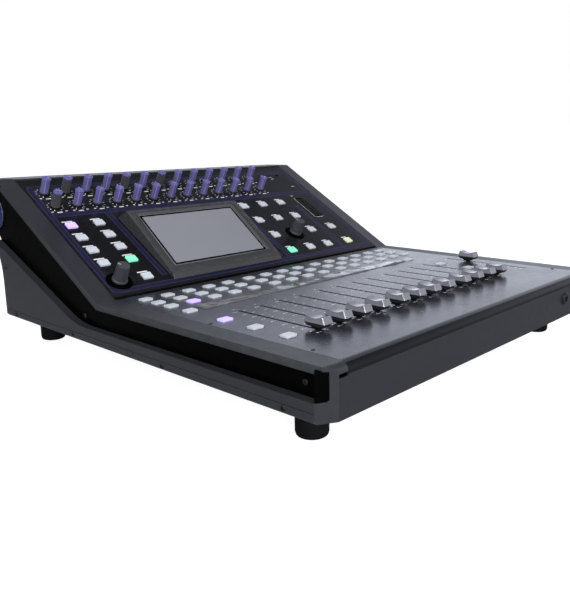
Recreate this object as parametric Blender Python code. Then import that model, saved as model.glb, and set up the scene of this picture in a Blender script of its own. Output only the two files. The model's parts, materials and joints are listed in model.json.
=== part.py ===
"""Tabletop digital mixing console: a low fader deck, an inclined bridge with rotary controls and a raised
touch screen, moulded side cheeks, a connector face under an overhanging hood and four tall rubber feet.

Frame: +X to the operator's right, +Y towards the rear, +Z up. The origin is on the table under the centre.
Deck pieces are placed from the fold between deck and bridge, and bridge pieces from the same fold in the
bridge's own plane: local x across, local y up the slope, local z out of the panel.
"""

from math import atan2, cos, pi, radians, sin, tan

import bmesh
import bpy
from mathutils import Matrix, Vector

# Driving dimensions, in metres.
GAP = 0.0003
SHEET = 0.002
WIDTH = 0.469
FOOT_HEIGHT = 0.032
DECK_TOP = 0.0728
DECK_DEPTH = 0.293
REAR_OVERHANG = 0.240
REAR_FACE = 0.1855
HOOD_LOW = 0.1457
BRIDGE_ANGLE = radians(29.6)
BRIDGE_LENGTH = 0.2235
FRONT_ROLL = 0.0085
FRONT_ROLL_STEPS = 8
SHEET_LAP = 0.0025

DEPTH = DECK_DEPTH + REAR_OVERHANG
FRONT_Y = -DEPTH / 2
FOLD_Y = FRONT_Y + DECK_DEPTH
REAR_Y = DEPTH / 2
REAR_LOW_Y = FOLD_Y + REAR_FACE
BRIDGE_TOP_Y = FOLD_Y + BRIDGE_LENGTH * cos(BRIDGE_ANGLE)
BRIDGE_TOP_Z = DECK_TOP + BRIDGE_LENGTH * sin(BRIDGE_ANGLE)

# Side cheeks.
CHEEK_WALL = 0.016
CHEEK_LIP_OUT = 0.0055
CHEEK_LIP_IN = 0.0258
CHEEK_LIP_THICK = 0.0066
CHEEK_RECESS = 0.0085
CHEEK_FRONT_SWEEP = 0.0115
CHEEK_SKIRT = 0.002
CHEEK_CORNER = 0.006
CHEEK_REAR_Y = FOLD_Y + 0.1875
CHEEK_CURVE_LOW = 0.072
CHEEK_CURVE_RADIUS = 0.075
CHEEK_CURVE_TURN = radians(60)
FRAME_RAIL_TOP = 0.0475
FRAME_RAIL_BEND = 0.0335
FRAME_RAIL_SLOPE = 0.4076
FRAME_RAIL_EASE = 0.020

PANEL_HALF = WIDTH / 2 - CHEEK_LIP_IN - GAP
BODY_HALF = WIDTH / 2 - CHEEK_WALL - GAP

# Faders.
CHANNELS = 12
FADER_PITCH = 0.02614
FADER_GROUP = 4
FADER_GROUP_GAP = 0.0042
FIRST_FADER_X = -0.1603
MASTER_FADER_X = 0.190
FADER_TRAVEL = 0.100
FADER_LOW_Y = -0.2278
CHANNEL_REST_UP = 0.0063
MASTER_REST_UP = 0.0730
SLOT_WIDTH = 0.0026
CAP_WIDTH = 0.0110
CAP_LENGTH = 0.0230
CAP_HEIGHT = 0.0122
CAP_DIP = 0.0020
CAP_END_SLOPE = 0.0023
CAP_BELLY = 0.0062
CAP_UNDERCUT = 0.0023
CAP_LIFT = 0.0030
STEM_WIDTH = 0.0012
STEM_LENGTH = 0.0050
STEM_DEPTH = 0.0085

# Push keys.
KEY_WIDTH = 0.0117
KEY_LENGTH = 0.0096
KEY_PROUD = 0.0020
KEY_CLEARANCE = 0.0004
KEY_TRAVEL = 0.0010
MAT_THICK = 0.0015
KEY_SHIFT = 0.0033
KEY_ROW_FIRST = -0.0234
KEY_ROW_PITCH = 0.0205
KEY_ROWS = 3
LEFT_KEY_X = -0.1894
TOP_KEY_X = (0.1584, 0.1818)
SIDE_KEY_FIRST = -0.0925
SIDE_KEY_SECOND = -0.1408
SIDE_KEY_PITCH = 0.0378
RIGHT_KEY_X = 0.1500
BRIDGE_KEY_FIRST = 0.0256
BRIDGE_LEFT_PITCH = 0.0231
BRIDGE_LEFT_START = 0.0565
BRIDGE_LEFT_X = (-0.1894, -0.1562)
BRIDGE_RIGHT_PITCH = 0.0339
BRIDGE_RIGHT_X = (0.0613, 0.0955, 0.1299)
BRIDGE_EDGE_X = 0.1708
BRIDGE_EDGE_V = (0.0250, 0.0597)

# Rotary controls.
KNOB_COUNT = 13
KNOB_PITCH = 0.02574
FIRST_KNOB_X = -0.1891
KNOB_ROWS = {"upper": 0.1913, "lower": 0.1639}
KNOB_HEIGHT = 0.0199
KNOB_RADIUS = 0.0050
KNOB_TOP_RADIUS = 0.0046
KNOB_LIFT = 0.0012
SHAFT_RADIUS = 0.0030
SHAFT_DEPTH = 0.0050
SHAFT_HOLE = 0.0037
ENCODER_HEIGHT = 0.0200
ENCODER_RADIUS = 0.0080
ENCODER_TOP_RADIUS = 0.0064
ENCODERS = {"left_encoder": (-0.1890, 0.0256), "right_encoder": (0.0955, 0.0575)}

# Touch screen.
SCREEN_X = -0.0500
SCREEN_WIDTH = 0.1607
SCREEN_TOE = 0.0120
SCREEN_LOW = 0.0164
SCREEN_LOW_HEIGHT = 0.0049
SCREEN_BROW = 0.1183
SCREEN_BROW_HEIGHT = 0.0179
SCREEN_BACK = 0.1306
DISPLAY_WIDTH = 0.1350
DISPLAY_LENGTH = 0.0803
DISPLAY_MARGIN = 0.0138
DISPLAY_RECESS = 0.0015
DISPLAY_THICK = 0.0060
POCKET_LAP = 0.0040

# Circuit boards, power supply and rear connectors.
BOARD = 0.0016
BRIDGE_BOARD_DEPTH = 0.0063
POT_SIZE = 0.0110
POT_BOTTOM = 0.0120
FADER_BODY_WIDTH = 0.0090
FADER_BODY_LENGTH = 0.1260
FADER_BODY_HEIGHT = 0.0130
SOCKET_COLUMNS = 8
SOCKET_ROWS = 3
SOCKET_PITCH = 0.034
SOCKET_ROW_PITCH = 0.027
SOCKET_FIRST_X = -0.158
SOCKET_FIRST_UP = 0.030
SOCKET_RADIUS = 0.0115
SOCKET_PROUD = 0.0006
OUTPUT_RECESS = 0.0030
BOARD_SETBACK = 0.0210
INLET_X = -0.1750
INLET_Z = 0.0540
INLET_SIZE = (0.0270, 0.0200)
INLET_POCKET = (0.0240, 0.0160, 0.0140)
SWITCH_X = -0.1400
SWITCH_SIZE = (0.0116, 0.0172)
SWITCH_TILT = radians(8.0)
FOOT_RADIUS = 0.0136
FOOT_X = 0.1935
FOOT_Y = (FOLD_Y - 0.2441, FOLD_Y + 0.1642)


def clear_scene():
    for item in list(bpy.data.objects):
        bpy.data.objects.remove(item, do_unlink=True)


def material(name, colour, roughness, metallic=0.0):
    made = bpy.data.materials.new(name)
    made.use_nodes = True
    shader = made.node_tree.nodes["Principled BSDF"]
    shader.inputs["Base Color"].default_value = (*colour, 1.0)
    shader.inputs["Roughness"].default_value = roughness
    shader.inputs["Metallic"].default_value = metallic
    return made


def new_object(name, shape, parent=None, location=(0, 0, 0), finish=None, smooth=False):
    """Links a bmesh, or a mesh that another object already uses, as one object."""
    if isinstance(shape, bmesh.types.BMesh):
        mesh = bpy.data.meshes.new(name)
        bmesh.ops.recalc_face_normals(shape, faces=shape.faces)
        shape.to_mesh(mesh)
        shape.free()
    else:
        mesh = shape
    if finish:
        mesh.materials.clear()
        mesh.materials.append(finish)
    if smooth:
        mesh.shade_smooth()
        mesh.set_sharp_from_angle(angle=radians(35))
    made = bpy.data.objects.new(name, mesh)
    made.location = location
    made.parent = parent
    bpy.context.scene.collection.objects.link(made)
    return made


def empty(name, location, rotation=(0, 0, 0)):
    made = bpy.data.objects.new(name, None)
    made.location = location
    made.rotation_euler = rotation
    bpy.context.scene.collection.objects.link(made)
    return made


def helper(name, shape, parent=None, location=(0, 0, 0)):
    """A cutter or an addition for a Boolean, left out of the model."""
    made = new_object(name, shape, parent, location)
    made.hide_render = True
    made.display_type = "WIRE"
    return made


def boolean(target, operation, other):
    modifier = target.modifiers.new(other.name, "BOOLEAN")
    modifier.operation = operation
    modifier.object = other
    modifier.solver = "EXACT"


def box(bm, low, high):
    centre = (Vector(low) + Vector(high)) / 2
    size = Vector(high) - Vector(low)
    place = Matrix.Translation(centre) @ Matrix.Diagonal((*size, 1))
    bmesh.ops.create_cube(bm, size=1, matrix=place)


def prism(bm, outline, low_x, high_x):
    """Extrudes a closed outline of (y, z) points along X."""
    corners = [bm.verts.new((low_x, y, z)) for y, z in outline]
    face = bm.faces.new(corners)
    grown = bmesh.ops.extrude_face_region(bm, geom=[face])["geom"]
    moved = [item for item in grown if isinstance(item, bmesh.types.BMVert)]
    bmesh.ops.translate(bm, verts=moved, vec=(high_x - low_x, 0, 0))


def turned(bm, profile, segments):
    """Spins (radius, z) points round Z. The first and last points lie on the axis."""
    rings = []
    for radius, z in profile[1:-1]:
        angles = [2 * pi * step / segments for step in range(segments)]
        rings.append([bm.verts.new((radius * cos(a), radius * sin(a), z)) for a in angles])
    for lower, upper in zip(rings, rings[1:]):
        for step in range(segments):
            after = (step + 1) % segments
            bm.faces.new((lower[step], lower[after], upper[after], upper[step]))
    bm.faces.new(list(reversed(rings[0])))
    bm.faces.new(rings[-1])


def arc(centre, radius, start, end, steps):
    angles = [start + (end - start) * step / steps for step in range(steps + 1)]
    return [(centre[0] + radius * cos(a), centre[1] + radius * sin(a)) for a in angles]


def fader_x(index):
    return FIRST_FADER_X + index * FADER_PITCH + FADER_GROUP_GAP * (index // FADER_GROUP)


CHANNEL_REST_Y = FADER_LOW_Y + CHANNEL_REST_UP
FADERS = {f"fader_{index + 1:02d}": (fader_x(index), CHANNEL_REST_Y) for index in range(CHANNELS)}
FADERS["fader_master"] = (MASTER_FADER_X, FADER_LOW_Y + MASTER_REST_UP)

DECK_KEYS = [
    (x, KEY_ROW_FIRST - row * KEY_ROW_PITCH)
    for x in (LEFT_KEY_X, *[fader_x(index) - KEY_SHIFT for index in range(CHANNELS)], *TOP_KEY_X)
    for row in range(KEY_ROWS)
]
SIDE_ROWS = (
    SIDE_KEY_FIRST,
    SIDE_KEY_SECOND,
    SIDE_KEY_SECOND - SIDE_KEY_PITCH,
    SIDE_KEY_SECOND - 2 * SIDE_KEY_PITCH,
)
DECK_KEYS += [(LEFT_KEY_X, y) for y in SIDE_ROWS]
DECK_KEYS += [(RIGHT_KEY_X, y) for y in SIDE_ROWS[:3]]

BRIDGE_KEYS = [(x, BRIDGE_LEFT_START + row * BRIDGE_LEFT_PITCH) for x in BRIDGE_LEFT_X for row in range(4)]
BRIDGE_KEYS.append((BRIDGE_LEFT_X[1], BRIDGE_KEY_FIRST))
BRIDGE_KEYS += [
    (x, BRIDGE_KEY_FIRST + row * BRIDGE_RIGHT_PITCH)
    for x in BRIDGE_RIGHT_X
    for row in range(4)
    if (x, row) != (BRIDGE_RIGHT_X[1], 1)
]
BRIDGE_KEYS += [(BRIDGE_EDGE_X, v) for v in BRIDGE_EDGE_V]

KNOBS = {
    f"{row}_knob_{column + 1:02d}": (FIRST_KNOB_X + column * KNOB_PITCH, v)
    for row, v in KNOB_ROWS.items()
    for column in range(KNOB_COUNT)
}


def key_blocks(bm, keys, low, high, margin=0.0):
    for x, y in keys:
        half_x = KEY_WIDTH / 2 + margin
        half_y = KEY_LENGTH / 2 + margin
        box(bm, (x - half_x, y - half_y, low), (x + half_x, y + half_y, high))


def base_tray(finish):
    """Bottom plate with a low flange at the front and at the rear, folded from one sheet."""
    front = FRONT_Y + SHEET + GAP
    rear = REAR_LOW_Y - SHEET - GAP
    low = FOOT_HEIGHT
    flange = 0.010
    outline = [
        (front, low),
        (rear, low),
        (rear, low + flange),
        (rear - SHEET, low + flange),
        (rear - SHEET, low + SHEET),
        (front + SHEET, low + SHEET),
        (front + SHEET, low + flange),
        (front, low + flange),
    ]
    bm = bmesh.new()
    prism(bm, outline, -BODY_HALF, BODY_HALF)
    new_object("base_tray", bm, finish=finish)


def deck_panel(finish, deck):
    """Fader deck and front face in one folded sheet, slotted for the faders and pierced for the keys."""
    roll = (FRONT_Y + FRONT_ROLL, DECK_TOP - FRONT_ROLL)
    outer = arc(roll, FRONT_ROLL, pi / 2, pi, FRONT_ROLL_STEPS)
    inner = arc(roll, FRONT_ROLL - SHEET, pi, pi / 2, FRONT_ROLL_STEPS)
    rear = FOLD_Y - 0.0006
    outline = [(rear, DECK_TOP - SHEET), (rear, DECK_TOP)] + outer
    outline += [(FRONT_Y, FOOT_HEIGHT), (FRONT_Y + SHEET, FOOT_HEIGHT)] + inner
    bm = bmesh.new()
    prism(bm, outline, -PANEL_HALF, PANEL_HALF)
    panel = new_object("deck_panel", bm, finish=finish)
    wings = bmesh.new()
    wing_top = DECK_TOP - FRONT_ROLL - 0.0012
    box(wings, (-BODY_HALF, FRONT_Y, FOOT_HEIGHT), (BODY_HALF, FRONT_Y + SHEET, wing_top))
    boolean(panel, "UNION", helper("deck_front_wings", wings))
    cuts = bmesh.new()
    reach = STEM_LENGTH / 2 + 0.0004
    for x, _ in FADERS.values():
        low = FADER_LOW_Y - reach
        high = FADER_LOW_Y + FADER_TRAVEL + reach
        box(cuts, (x - SLOT_WIDTH / 2, low, -2 * SHEET), (x + SLOT_WIDTH / 2, high, SHEET))
    key_blocks(cuts, DECK_KEYS, -2 * SHEET, SHEET, KEY_CLEARANCE)
    boolean(panel, "DIFFERENCE", helper("deck_cuts", cuts, deck))


def bridge_panel(finish, bridge):
    """Inclined panel, pierced for the rotary shafts, the keys and the display module."""
    bm = bmesh.new()
    box(bm, (-PANEL_HALF, 0.0031, -SHEET), (PANEL_HALF, BRIDGE_LENGTH - 0.0040, 0))
    panel = new_object("bridge_panel", bm, bridge, finish=finish)
    cuts = bmesh.new()
    for x, v in [*KNOBS.values(), *ENCODERS.values()]:
        place = Matrix.Translation((x, v, -SHEET / 2))
        sizes = {"radius1": SHAFT_HOLE, "radius2": SHAFT_HOLE, "depth": 3 * SHEET}
        bmesh.ops.create_cone(cuts, cap_ends=True, segments=12, matrix=place, **sizes)
    key_blocks(cuts, BRIDGE_KEYS, -2 * SHEET, SHEET, KEY_CLEARANCE)
    half = DISPLAY_WIDTH / 2 + POCKET_LAP + 0.0005
    low = SCREEN_LOW + DISPLAY_MARGIN - POCKET_LAP - 0.0008
    high = low + DISPLAY_LENGTH + 2 * POCKET_LAP + 0.0016
    box(cuts, (SCREEN_X - half, low, -2 * SHEET), (SCREEN_X + half, high, SHEET))
    boolean(panel, "DIFFERENCE", helper("bridge_cuts", cuts, bridge))


def rear_panel(finish, rear):
    """Upright connector sheet, stepped out into a hood and folded over the top, pierced for connectors."""
    top = BRIDGE_TOP_Z
    outline = [
        (REAR_LOW_Y, FOOT_HEIGHT),
        (REAR_LOW_Y, HOOD_LOW),
        (REAR_Y, HOOD_LOW),
        (REAR_Y, top),
        (BRIDGE_TOP_Y - SHEET_LAP, top),
        (BRIDGE_TOP_Y - SHEET_LAP, top - SHEET),
        (REAR_Y - SHEET, top - SHEET),
        (REAR_Y - SHEET, HOOD_LOW + SHEET),
        (REAR_LOW_Y - SHEET, HOOD_LOW + SHEET),
        (REAR_LOW_Y - SHEET, FOOT_HEIGHT),
    ]
    bm = bmesh.new()
    prism(bm, outline, -BODY_HALF, BODY_HALF)
    panel = new_object("rear_panel", bm, finish=finish)
    trim = bmesh.new()
    lip_gap = WIDTH / 2 - CHEEK_LIP_IN - GAP
    for side in (-1, 1):
        near, far = sorted((side * lip_gap, side * WIDTH))
        box(trim, (near, FOLD_Y, top - CHEEK_LIP_THICK - 0.002), (far, REAR_Y + 0.01, top + 0.01))
    boolean(panel, "DIFFERENCE", helper("rear_corner_cuts", trim))
    holes = bmesh.new()
    for x, up, _ in sockets():
        place = Matrix.Translation((x, up, -SHEET / 2))
        radius = SOCKET_RADIUS + 0.0006
        sizes = {"radius1": radius, "radius2": radius, "depth": 3 * SHEET}
        bmesh.ops.create_cone(holes, cap_ends=True, segments=12, matrix=place, **sizes)
    boolean(panel, "DIFFERENCE", helper("socket_holes", holes, rear))
    windows = bmesh.new()
    for x, (wide, tall) in ((INLET_X, INLET_SIZE), (SWITCH_X, SWITCH_SIZE)):
        half_x = wide / 2 + 0.0006
        half_z = tall / 2 + 0.0006 + (0.0018 if x == SWITCH_X else 0)
        low = (x - half_x, REAR_LOW_Y - 3 * SHEET, INLET_Z - half_z)
        box(windows, low, (x + half_x, REAR_LOW_Y + 3 * SHEET, INLET_Z + half_z))
    boolean(panel, "DIFFERENCE", helper("power_windows", windows))


def sockets():
    """Places of the rear connectors as (x, up, how far the face stands out of the sheet)."""
    for row in range(SOCKET_ROWS):
        proud = -OUTPUT_RECESS if row == 0 else SOCKET_PROUD
        for column in range(SOCKET_COLUMNS):
            yield SOCKET_FIRST_X + column * SOCKET_PITCH, SOCKET_FIRST_UP + row * SOCKET_ROW_PITCH, proud


def cheek(name, side, finish):
    """Moulded cheek: a full-height wall, a lip that laps the panels, a long outer recess and a lower rail."""
    outer = WIDTH / 2
    low = FOOT_HEIGHT
    corner = (FRONT_Y + CHEEK_CORNER, DECK_TOP - CHEEK_CORNER)
    crest = arc(corner, CHEEK_CORNER, pi, pi / 2, 4)
    crest += [(FOLD_Y, DECK_TOP), (BRIDGE_TOP_Y, BRIDGE_TOP_Z), (REAR_Y, BRIDGE_TOP_Z)]
    hollow = (CHEEK_REAR_Y + CHEEK_CURVE_RADIUS, CHEEK_CURVE_LOW)
    wall = crest + [(REAR_Y, HOOD_LOW)] + arc(hollow, CHEEK_CURVE_RADIUS, pi - CHEEK_CURVE_TURN, pi, 8)
    wall += [(CHEEK_REAR_Y, low), (FRONT_Y, low)]
    bm = bmesh.new()
    prism(bm, wall, *sorted((side * (outer - CHEEK_WALL), side * outer)))
    made = new_object(name, bm, finish=finish)

    thick = CHEEK_LIP_THICK
    fold_shift = thick * tan(BRIDGE_ANGLE / 2)
    lip = crest + [
        (REAR_Y, BRIDGE_TOP_Z - thick),
        (BRIDGE_TOP_Y + fold_shift, BRIDGE_TOP_Z - thick),
        (FOLD_Y + fold_shift, DECK_TOP - thick),
        (FRONT_Y, DECK_TOP - thick),
    ]
    flange = bmesh.new()
    prism(flange, lip, *sorted((side * (outer - CHEEK_LIP_IN), side * (outer - CHEEK_WALL / 2))))
    boolean(made, "UNION", helper(name + "_lip", flange))

    far = outer + 0.01
    clear = 0.02
    rail = FRAME_RAIL_TOP
    bend = FOLD_Y + FRAME_RAIL_BEND
    turn = atan2(FRAME_RAIL_SLOPE, 1)
    radius = FRAME_RAIL_EASE / tan(turn / 2)
    ease = arc((bend - FRAME_RAIL_EASE, rail + radius), radius, -pi / 2, turn - pi / 2, 6)
    rail_end = rail + (REAR_Y + clear - bend) * FRAME_RAIL_SLOPE
    over = [(FRONT_Y - clear, rail)] + ease + [(REAR_Y + clear, rail_end)]
    above = over + [(REAR_Y + clear, BRIDGE_TOP_Z + clear), (FRONT_Y - clear, BRIDGE_TOP_Z + clear)]
    shave = bmesh.new()
    prism(shave, above, *sorted((side * (outer - CHEEK_LIP_OUT), side * far)))
    boolean(made, "DIFFERENCE", helper(name + "_outer_shave", shave))

    under = [
        (REAR_Y + clear, BRIDGE_TOP_Z - thick),
        (BRIDGE_TOP_Y + fold_shift, BRIDGE_TOP_Z - thick),
        (FOLD_Y + fold_shift, DECK_TOP - thick),
        (FRONT_Y - clear, DECK_TOP - thick),
    ]
    recess = bmesh.new()
    prism(recess, over + under, *sorted((side * (outer - CHEEK_RECESS), side * far)))
    boolean(made, "DIFFERENCE", helper(name + "_recess", recess))

    sweep = bmesh.new()
    inner_x = outer - CHEEK_WALL + 0.0004
    beyond = outer + 0.004
    corners = [(inner_x, FRONT_Y), (beyond, FRONT_Y - 0.01), (beyond, FRONT_Y + CHEEK_FRONT_SWEEP)]
    lower = [sweep.verts.new((side * x, y, low - 0.01)) for x, y in corners]
    face = sweep.faces.new(lower)
    grown = bmesh.ops.extrude_face_region(sweep, geom=[face])["geom"]
    moved = [item for item in grown if isinstance(item, bmesh.types.BMVert)]
    bmesh.ops.translate(sweep, verts=moved, vec=(0, 0, DECK_TOP))
    boolean(made, "DIFFERENCE", helper(name + "_front_sweep", sweep))

    skirt = bmesh.new()
    toes = [(outer - CHEEK_SKIRT, low), (outer, low + CHEEK_SKIRT), (far, low + CHEEK_SKIRT)]
    toes += [(far, low - 0.01), (outer - CHEEK_SKIRT, low - 0.01)]
    lower = [skirt.verts.new((side * x, FRONT_Y - clear, z)) for x, z in toes]
    face = skirt.faces.new(lower)
    grown = bmesh.ops.extrude_face_region(skirt, geom=[face])["geom"]
    moved = [item for item in grown if isinstance(item, bmesh.types.BMVert)]
    bmesh.ops.translate(skirt, verts=moved, vec=(0, DEPTH + 2 * clear, 0))
    boolean(made, "DIFFERENCE", helper(name + "_skirt", skirt))


def screen(finish, glass, bridge):
    """Wedge bezel that tilts the display up from the panel, and the display module that fills it."""
    slope = atan2(SCREEN_BROW_HEIGHT - SCREEN_LOW_HEIGHT, SCREEN_BROW - SCREEN_LOW)
    half = SCREEN_WIDTH / 2
    outline = [
        (SCREEN_TOE, GAP),
        (SCREEN_LOW, SCREEN_LOW_HEIGHT),
        (SCREEN_BROW, SCREEN_BROW_HEIGHT),
        (SCREEN_BACK, GAP),
    ]
    bm = bmesh.new()
    prism(bm, outline, SCREEN_X - half, SCREEN_X + half)
    bezel = new_object("screen_bezel", bm, bridge, finish=finish)
    tilt = empty("screen_tilt", (SCREEN_X, SCREEN_LOW, SCREEN_LOW_HEIGHT), (slope, 0, 0))
    tilt.parent = bridge
    low = DISPLAY_MARGIN
    high = low + DISPLAY_LENGTH
    cuts = bmesh.new()
    wide = DISPLAY_WIDTH / 2
    box(cuts, (-wide, low, -0.030), (wide, high, 0.010))
    boolean(bezel, "DIFFERENCE", helper("display_opening", cuts, tilt))
    pocket = bmesh.new()
    lap = POCKET_LAP
    box(pocket, (-wide - lap, low - lap, -0.030), (wide + lap, high + lap, -DISPLAY_RECESS))
    boolean(bezel, "DIFFERENCE", helper("display_pocket", pocket, tilt))
    slab = bmesh.new()
    edge = lap - GAP
    top = -DISPLAY_RECESS - GAP
    box(slab, (-wide - edge, low - edge, top - DISPLAY_THICK), (wide + edge, high + edge, top))
    new_object("touch_display", slab, tilt, finish=glass)


def keymats(finish, deck, bridge):
    """Moulded silicone key mats: every key of a panel stands on one elastic sheet under it."""
    top = -SHEET - GAP
    low = top - MAT_THICK
    edge = 0.0095
    sheet = bmesh.new()
    back = KEY_ROW_FIRST + edge
    front = KEY_ROW_FIRST - (KEY_ROWS - 1) * KEY_ROW_PITCH - edge
    box(sheet, (LEFT_KEY_X - edge, front, low), (TOP_KEY_X[1] + edge, back, top))
    mat = new_object("deck_keymat", sheet, deck, finish=finish)
    arms = bmesh.new()
    left_arm = (LEFT_KEY_X - edge + 0.001, LEFT_KEY_X + edge)
    right_arm = (RIGHT_KEY_X - 0.007, RIGHT_KEY_X + 0.007)
    box(arms, (left_arm[0], SIDE_ROWS[3] - edge, low), (left_arm[1], front + 0.004, top))
    box(arms, (right_arm[0], SIDE_ROWS[2] - edge, low), (right_arm[1], front + 0.005, top))
    boolean(mat, "UNION", helper("deck_mat_arms", arms, deck))
    keys = bmesh.new()
    key_blocks(keys, DECK_KEYS, low + 0.0004, KEY_PROUD)
    boolean(mat, "UNION", helper("deck_key_caps", keys, deck))

    left, right = BRIDGE_LEFT_X[0] - edge, BRIDGE_LEFT_X[1] + edge
    start = BRIDGE_LEFT_START - edge
    sheet = bmesh.new()
    box(sheet, (left, start, low), (right, BRIDGE_LEFT_START + 3 * BRIDGE_LEFT_PITCH + edge, top))
    mat = new_object("bridge_keymat", sheet, bridge, finish=finish)
    strips = bmesh.new()
    foot = 0.0060
    box(strips, (BRIDGE_LEFT_X[1] - edge, foot, low), (right - 0.001, start + 0.004, top))
    boolean(mat, "UNION", helper("bridge_mat_leg", strips, bridge))
    link = bmesh.new()
    box(link, (right - 0.008, foot + 0.001, low), (BRIDGE_RIGHT_X[0], 0.0160, top))
    boolean(mat, "UNION", helper("bridge_mat_link", link, bridge))
    field = bmesh.new()
    tall = BRIDGE_KEY_FIRST + 3 * BRIDGE_RIGHT_PITCH + edge
    box(field, (BRIDGE_RIGHT_X[0] - edge, foot, low), (BRIDGE_RIGHT_X[2] + edge, tall, top))
    boolean(mat, "UNION", helper("bridge_mat_field", field, bridge))
    side = bmesh.new()
    box(side, (BRIDGE_RIGHT_X[2], foot + 0.002, low), (BRIDGE_EDGE_X + edge, BRIDGE_EDGE_V[1] + edge, top))
    boolean(mat, "UNION", helper("bridge_mat_side", side, bridge))
    keys = bmesh.new()
    key_blocks(keys, BRIDGE_KEYS, low + 0.0004, KEY_PROUD)
    boolean(mat, "UNION", helper("bridge_key_caps", keys, bridge))
    hole = bmesh.new()
    x, v = ENCODERS["right_encoder"]
    place = Matrix.Translation((x, v, low))
    sizes = {"radius1": SHAFT_HOLE * 1.5, "radius2": SHAFT_HOLE * 1.5, "depth": 4 * MAT_THICK}
    bmesh.ops.create_cone(hole, cap_ends=True, segments=12, matrix=place, **sizes)
    boolean(mat, "DIFFERENCE", helper("bridge_mat_hole", hole, bridge))


def fader_cap_mesh():
    """Saddle-shaped cap on a flat metal stem. The origin is on the deck's surface under the cap's middle."""
    half = CAP_LENGTH / 2
    reach = half - CAP_END_SLOPE
    sag_radius = (reach**2 + CAP_DIP**2) / (2 * CAP_DIP)
    centre = (0.0, CAP_HEIGHT - CAP_DIP + sag_radius)
    swing = atan2(reach, sag_radius - CAP_DIP)
    top = arc(centre, sag_radius, -pi / 2 + swing, -pi / 2 - swing, 6)
    sole = half - CAP_UNDERCUT
    outline = [(-sole, CAP_LIFT), (sole, CAP_LIFT), (half, CAP_BELLY)] + top + [(-half, CAP_BELLY)]
    bm = bmesh.new()
    prism(bm, outline, -CAP_WIDTH / 2, CAP_WIDTH / 2)
    cap = helper("fader_cap_body", bm)
    stem = bmesh.new()
    half_x, half_y = STEM_WIDTH / 2, STEM_LENGTH / 2
    box(stem, (-half_x, -half_y, -STEM_DEPTH), (half_x, half_y, CAP_LIFT + 0.002))
    other = helper("fader_stem", stem)
    boolean(cap, "UNION", other)
    bpy.context.view_layer.update()
    seen = cap.evaluated_get(bpy.context.evaluated_depsgraph_get())
    mesh = bpy.data.meshes.new_from_object(seen)
    mesh.name = "fader_cap"
    for item in (cap, other):
        bpy.data.objects.remove(item, do_unlink=True)
    return mesh


def faders(finish, deck):
    mesh = fader_cap_mesh()
    for name, (x, y) in FADERS.items():
        new_object(name, mesh, deck, (x, y, 0), finish)


def knob_mesh(name, height, low_radius, top_radius, segments):
    bm = bmesh.new()
    profile = [
        (0, -SHAFT_DEPTH),
        (SHAFT_RADIUS, -SHAFT_DEPTH),
        (SHAFT_RADIUS, KNOB_LIFT),
        (low_radius, KNOB_LIFT),
        (top_radius, height - 0.0006),
        (top_radius - 0.0006, height),
        (0, height),
    ]
    turned(bm, profile, segments)
    bmesh.ops.recalc_face_normals(bm, faces=bm.faces)
    mesh = bpy.data.meshes.new(name)
    bm.to_mesh(mesh)
    bm.free()
    mesh.shade_smooth()
    mesh.set_sharp_from_angle(angle=radians(35))
    return mesh


def knobs(finish, dark, bridge):
    mesh = knob_mesh("rotary_knob", KNOB_HEIGHT, KNOB_RADIUS, KNOB_TOP_RADIUS, 14)
    for name, (x, v) in KNOBS.items():
        new_object(name, mesh, bridge, (x, v, 0), finish)
    mesh = knob_mesh("encoder_knob", ENCODER_HEIGHT, ENCODER_RADIUS, ENCODER_TOP_RADIUS, 20)
    for name, (x, v) in ENCODERS.items():
        new_object(name, mesh, bridge, (x, v, 0), dark)


def fader_board(finish, deck):
    """Fader bodies with their guide slots, standing on one circuit board."""
    body_top = -SHEET - GAP
    body_low = body_top - FADER_BODY_HEIGHT
    middle = FADER_LOW_Y + FADER_TRAVEL / 2
    half_y = FADER_BODY_LENGTH / 2
    bm = bmesh.new()
    left = FIRST_FADER_X - 0.012
    right = MASTER_FADER_X + 0.012
    box(bm, (left, middle - half_y - 0.003, body_low - BOARD), (right, middle + half_y, body_low))
    board = new_object("fader_board", bm, deck, finish=finish)
    bodies = bmesh.new()
    grooves = bmesh.new()
    half_x = FADER_BODY_WIDTH / 2
    run = FADER_TRAVEL / 2 + STEM_LENGTH / 2 + 0.0006
    near = middle - half_y + 0.001
    far = middle + half_y - 0.001
    for x, _ in FADERS.values():
        box(bodies, (x - half_x, near, body_low - 0.0006), (x + half_x, far, body_top))
        box(grooves, (x - 0.0016, middle - run, body_low + 0.0030), (x + 0.0016, middle + run, 0))
    boolean(board, "UNION", helper("fader_bodies", bodies, deck))
    boolean(board, "DIFFERENCE", helper("fader_grooves", grooves, deck))


def bridge_board(finish, bridge):
    """Circuit board behind the bridge panel, with the body of every rotary control on it."""
    top = -BRIDGE_BOARD_DEPTH
    half = PANEL_HALF - 0.004
    bm = bmesh.new()
    box(bm, (-half, 0.014, top - BOARD), (half, 0.200, top))
    board = new_object("bridge_board", bm, bridge, finish=finish)
    pots = bmesh.new()
    size = POT_SIZE / 2
    for x, v in [*KNOBS.values(), *ENCODERS.values()]:
        box(pots, (x - size, v - size, -POT_BOTTOM), (x + size, v + size, -SHAFT_DEPTH - GAP))
    boolean(board, "UNION", helper("control_bodies", pots, bridge))


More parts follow.
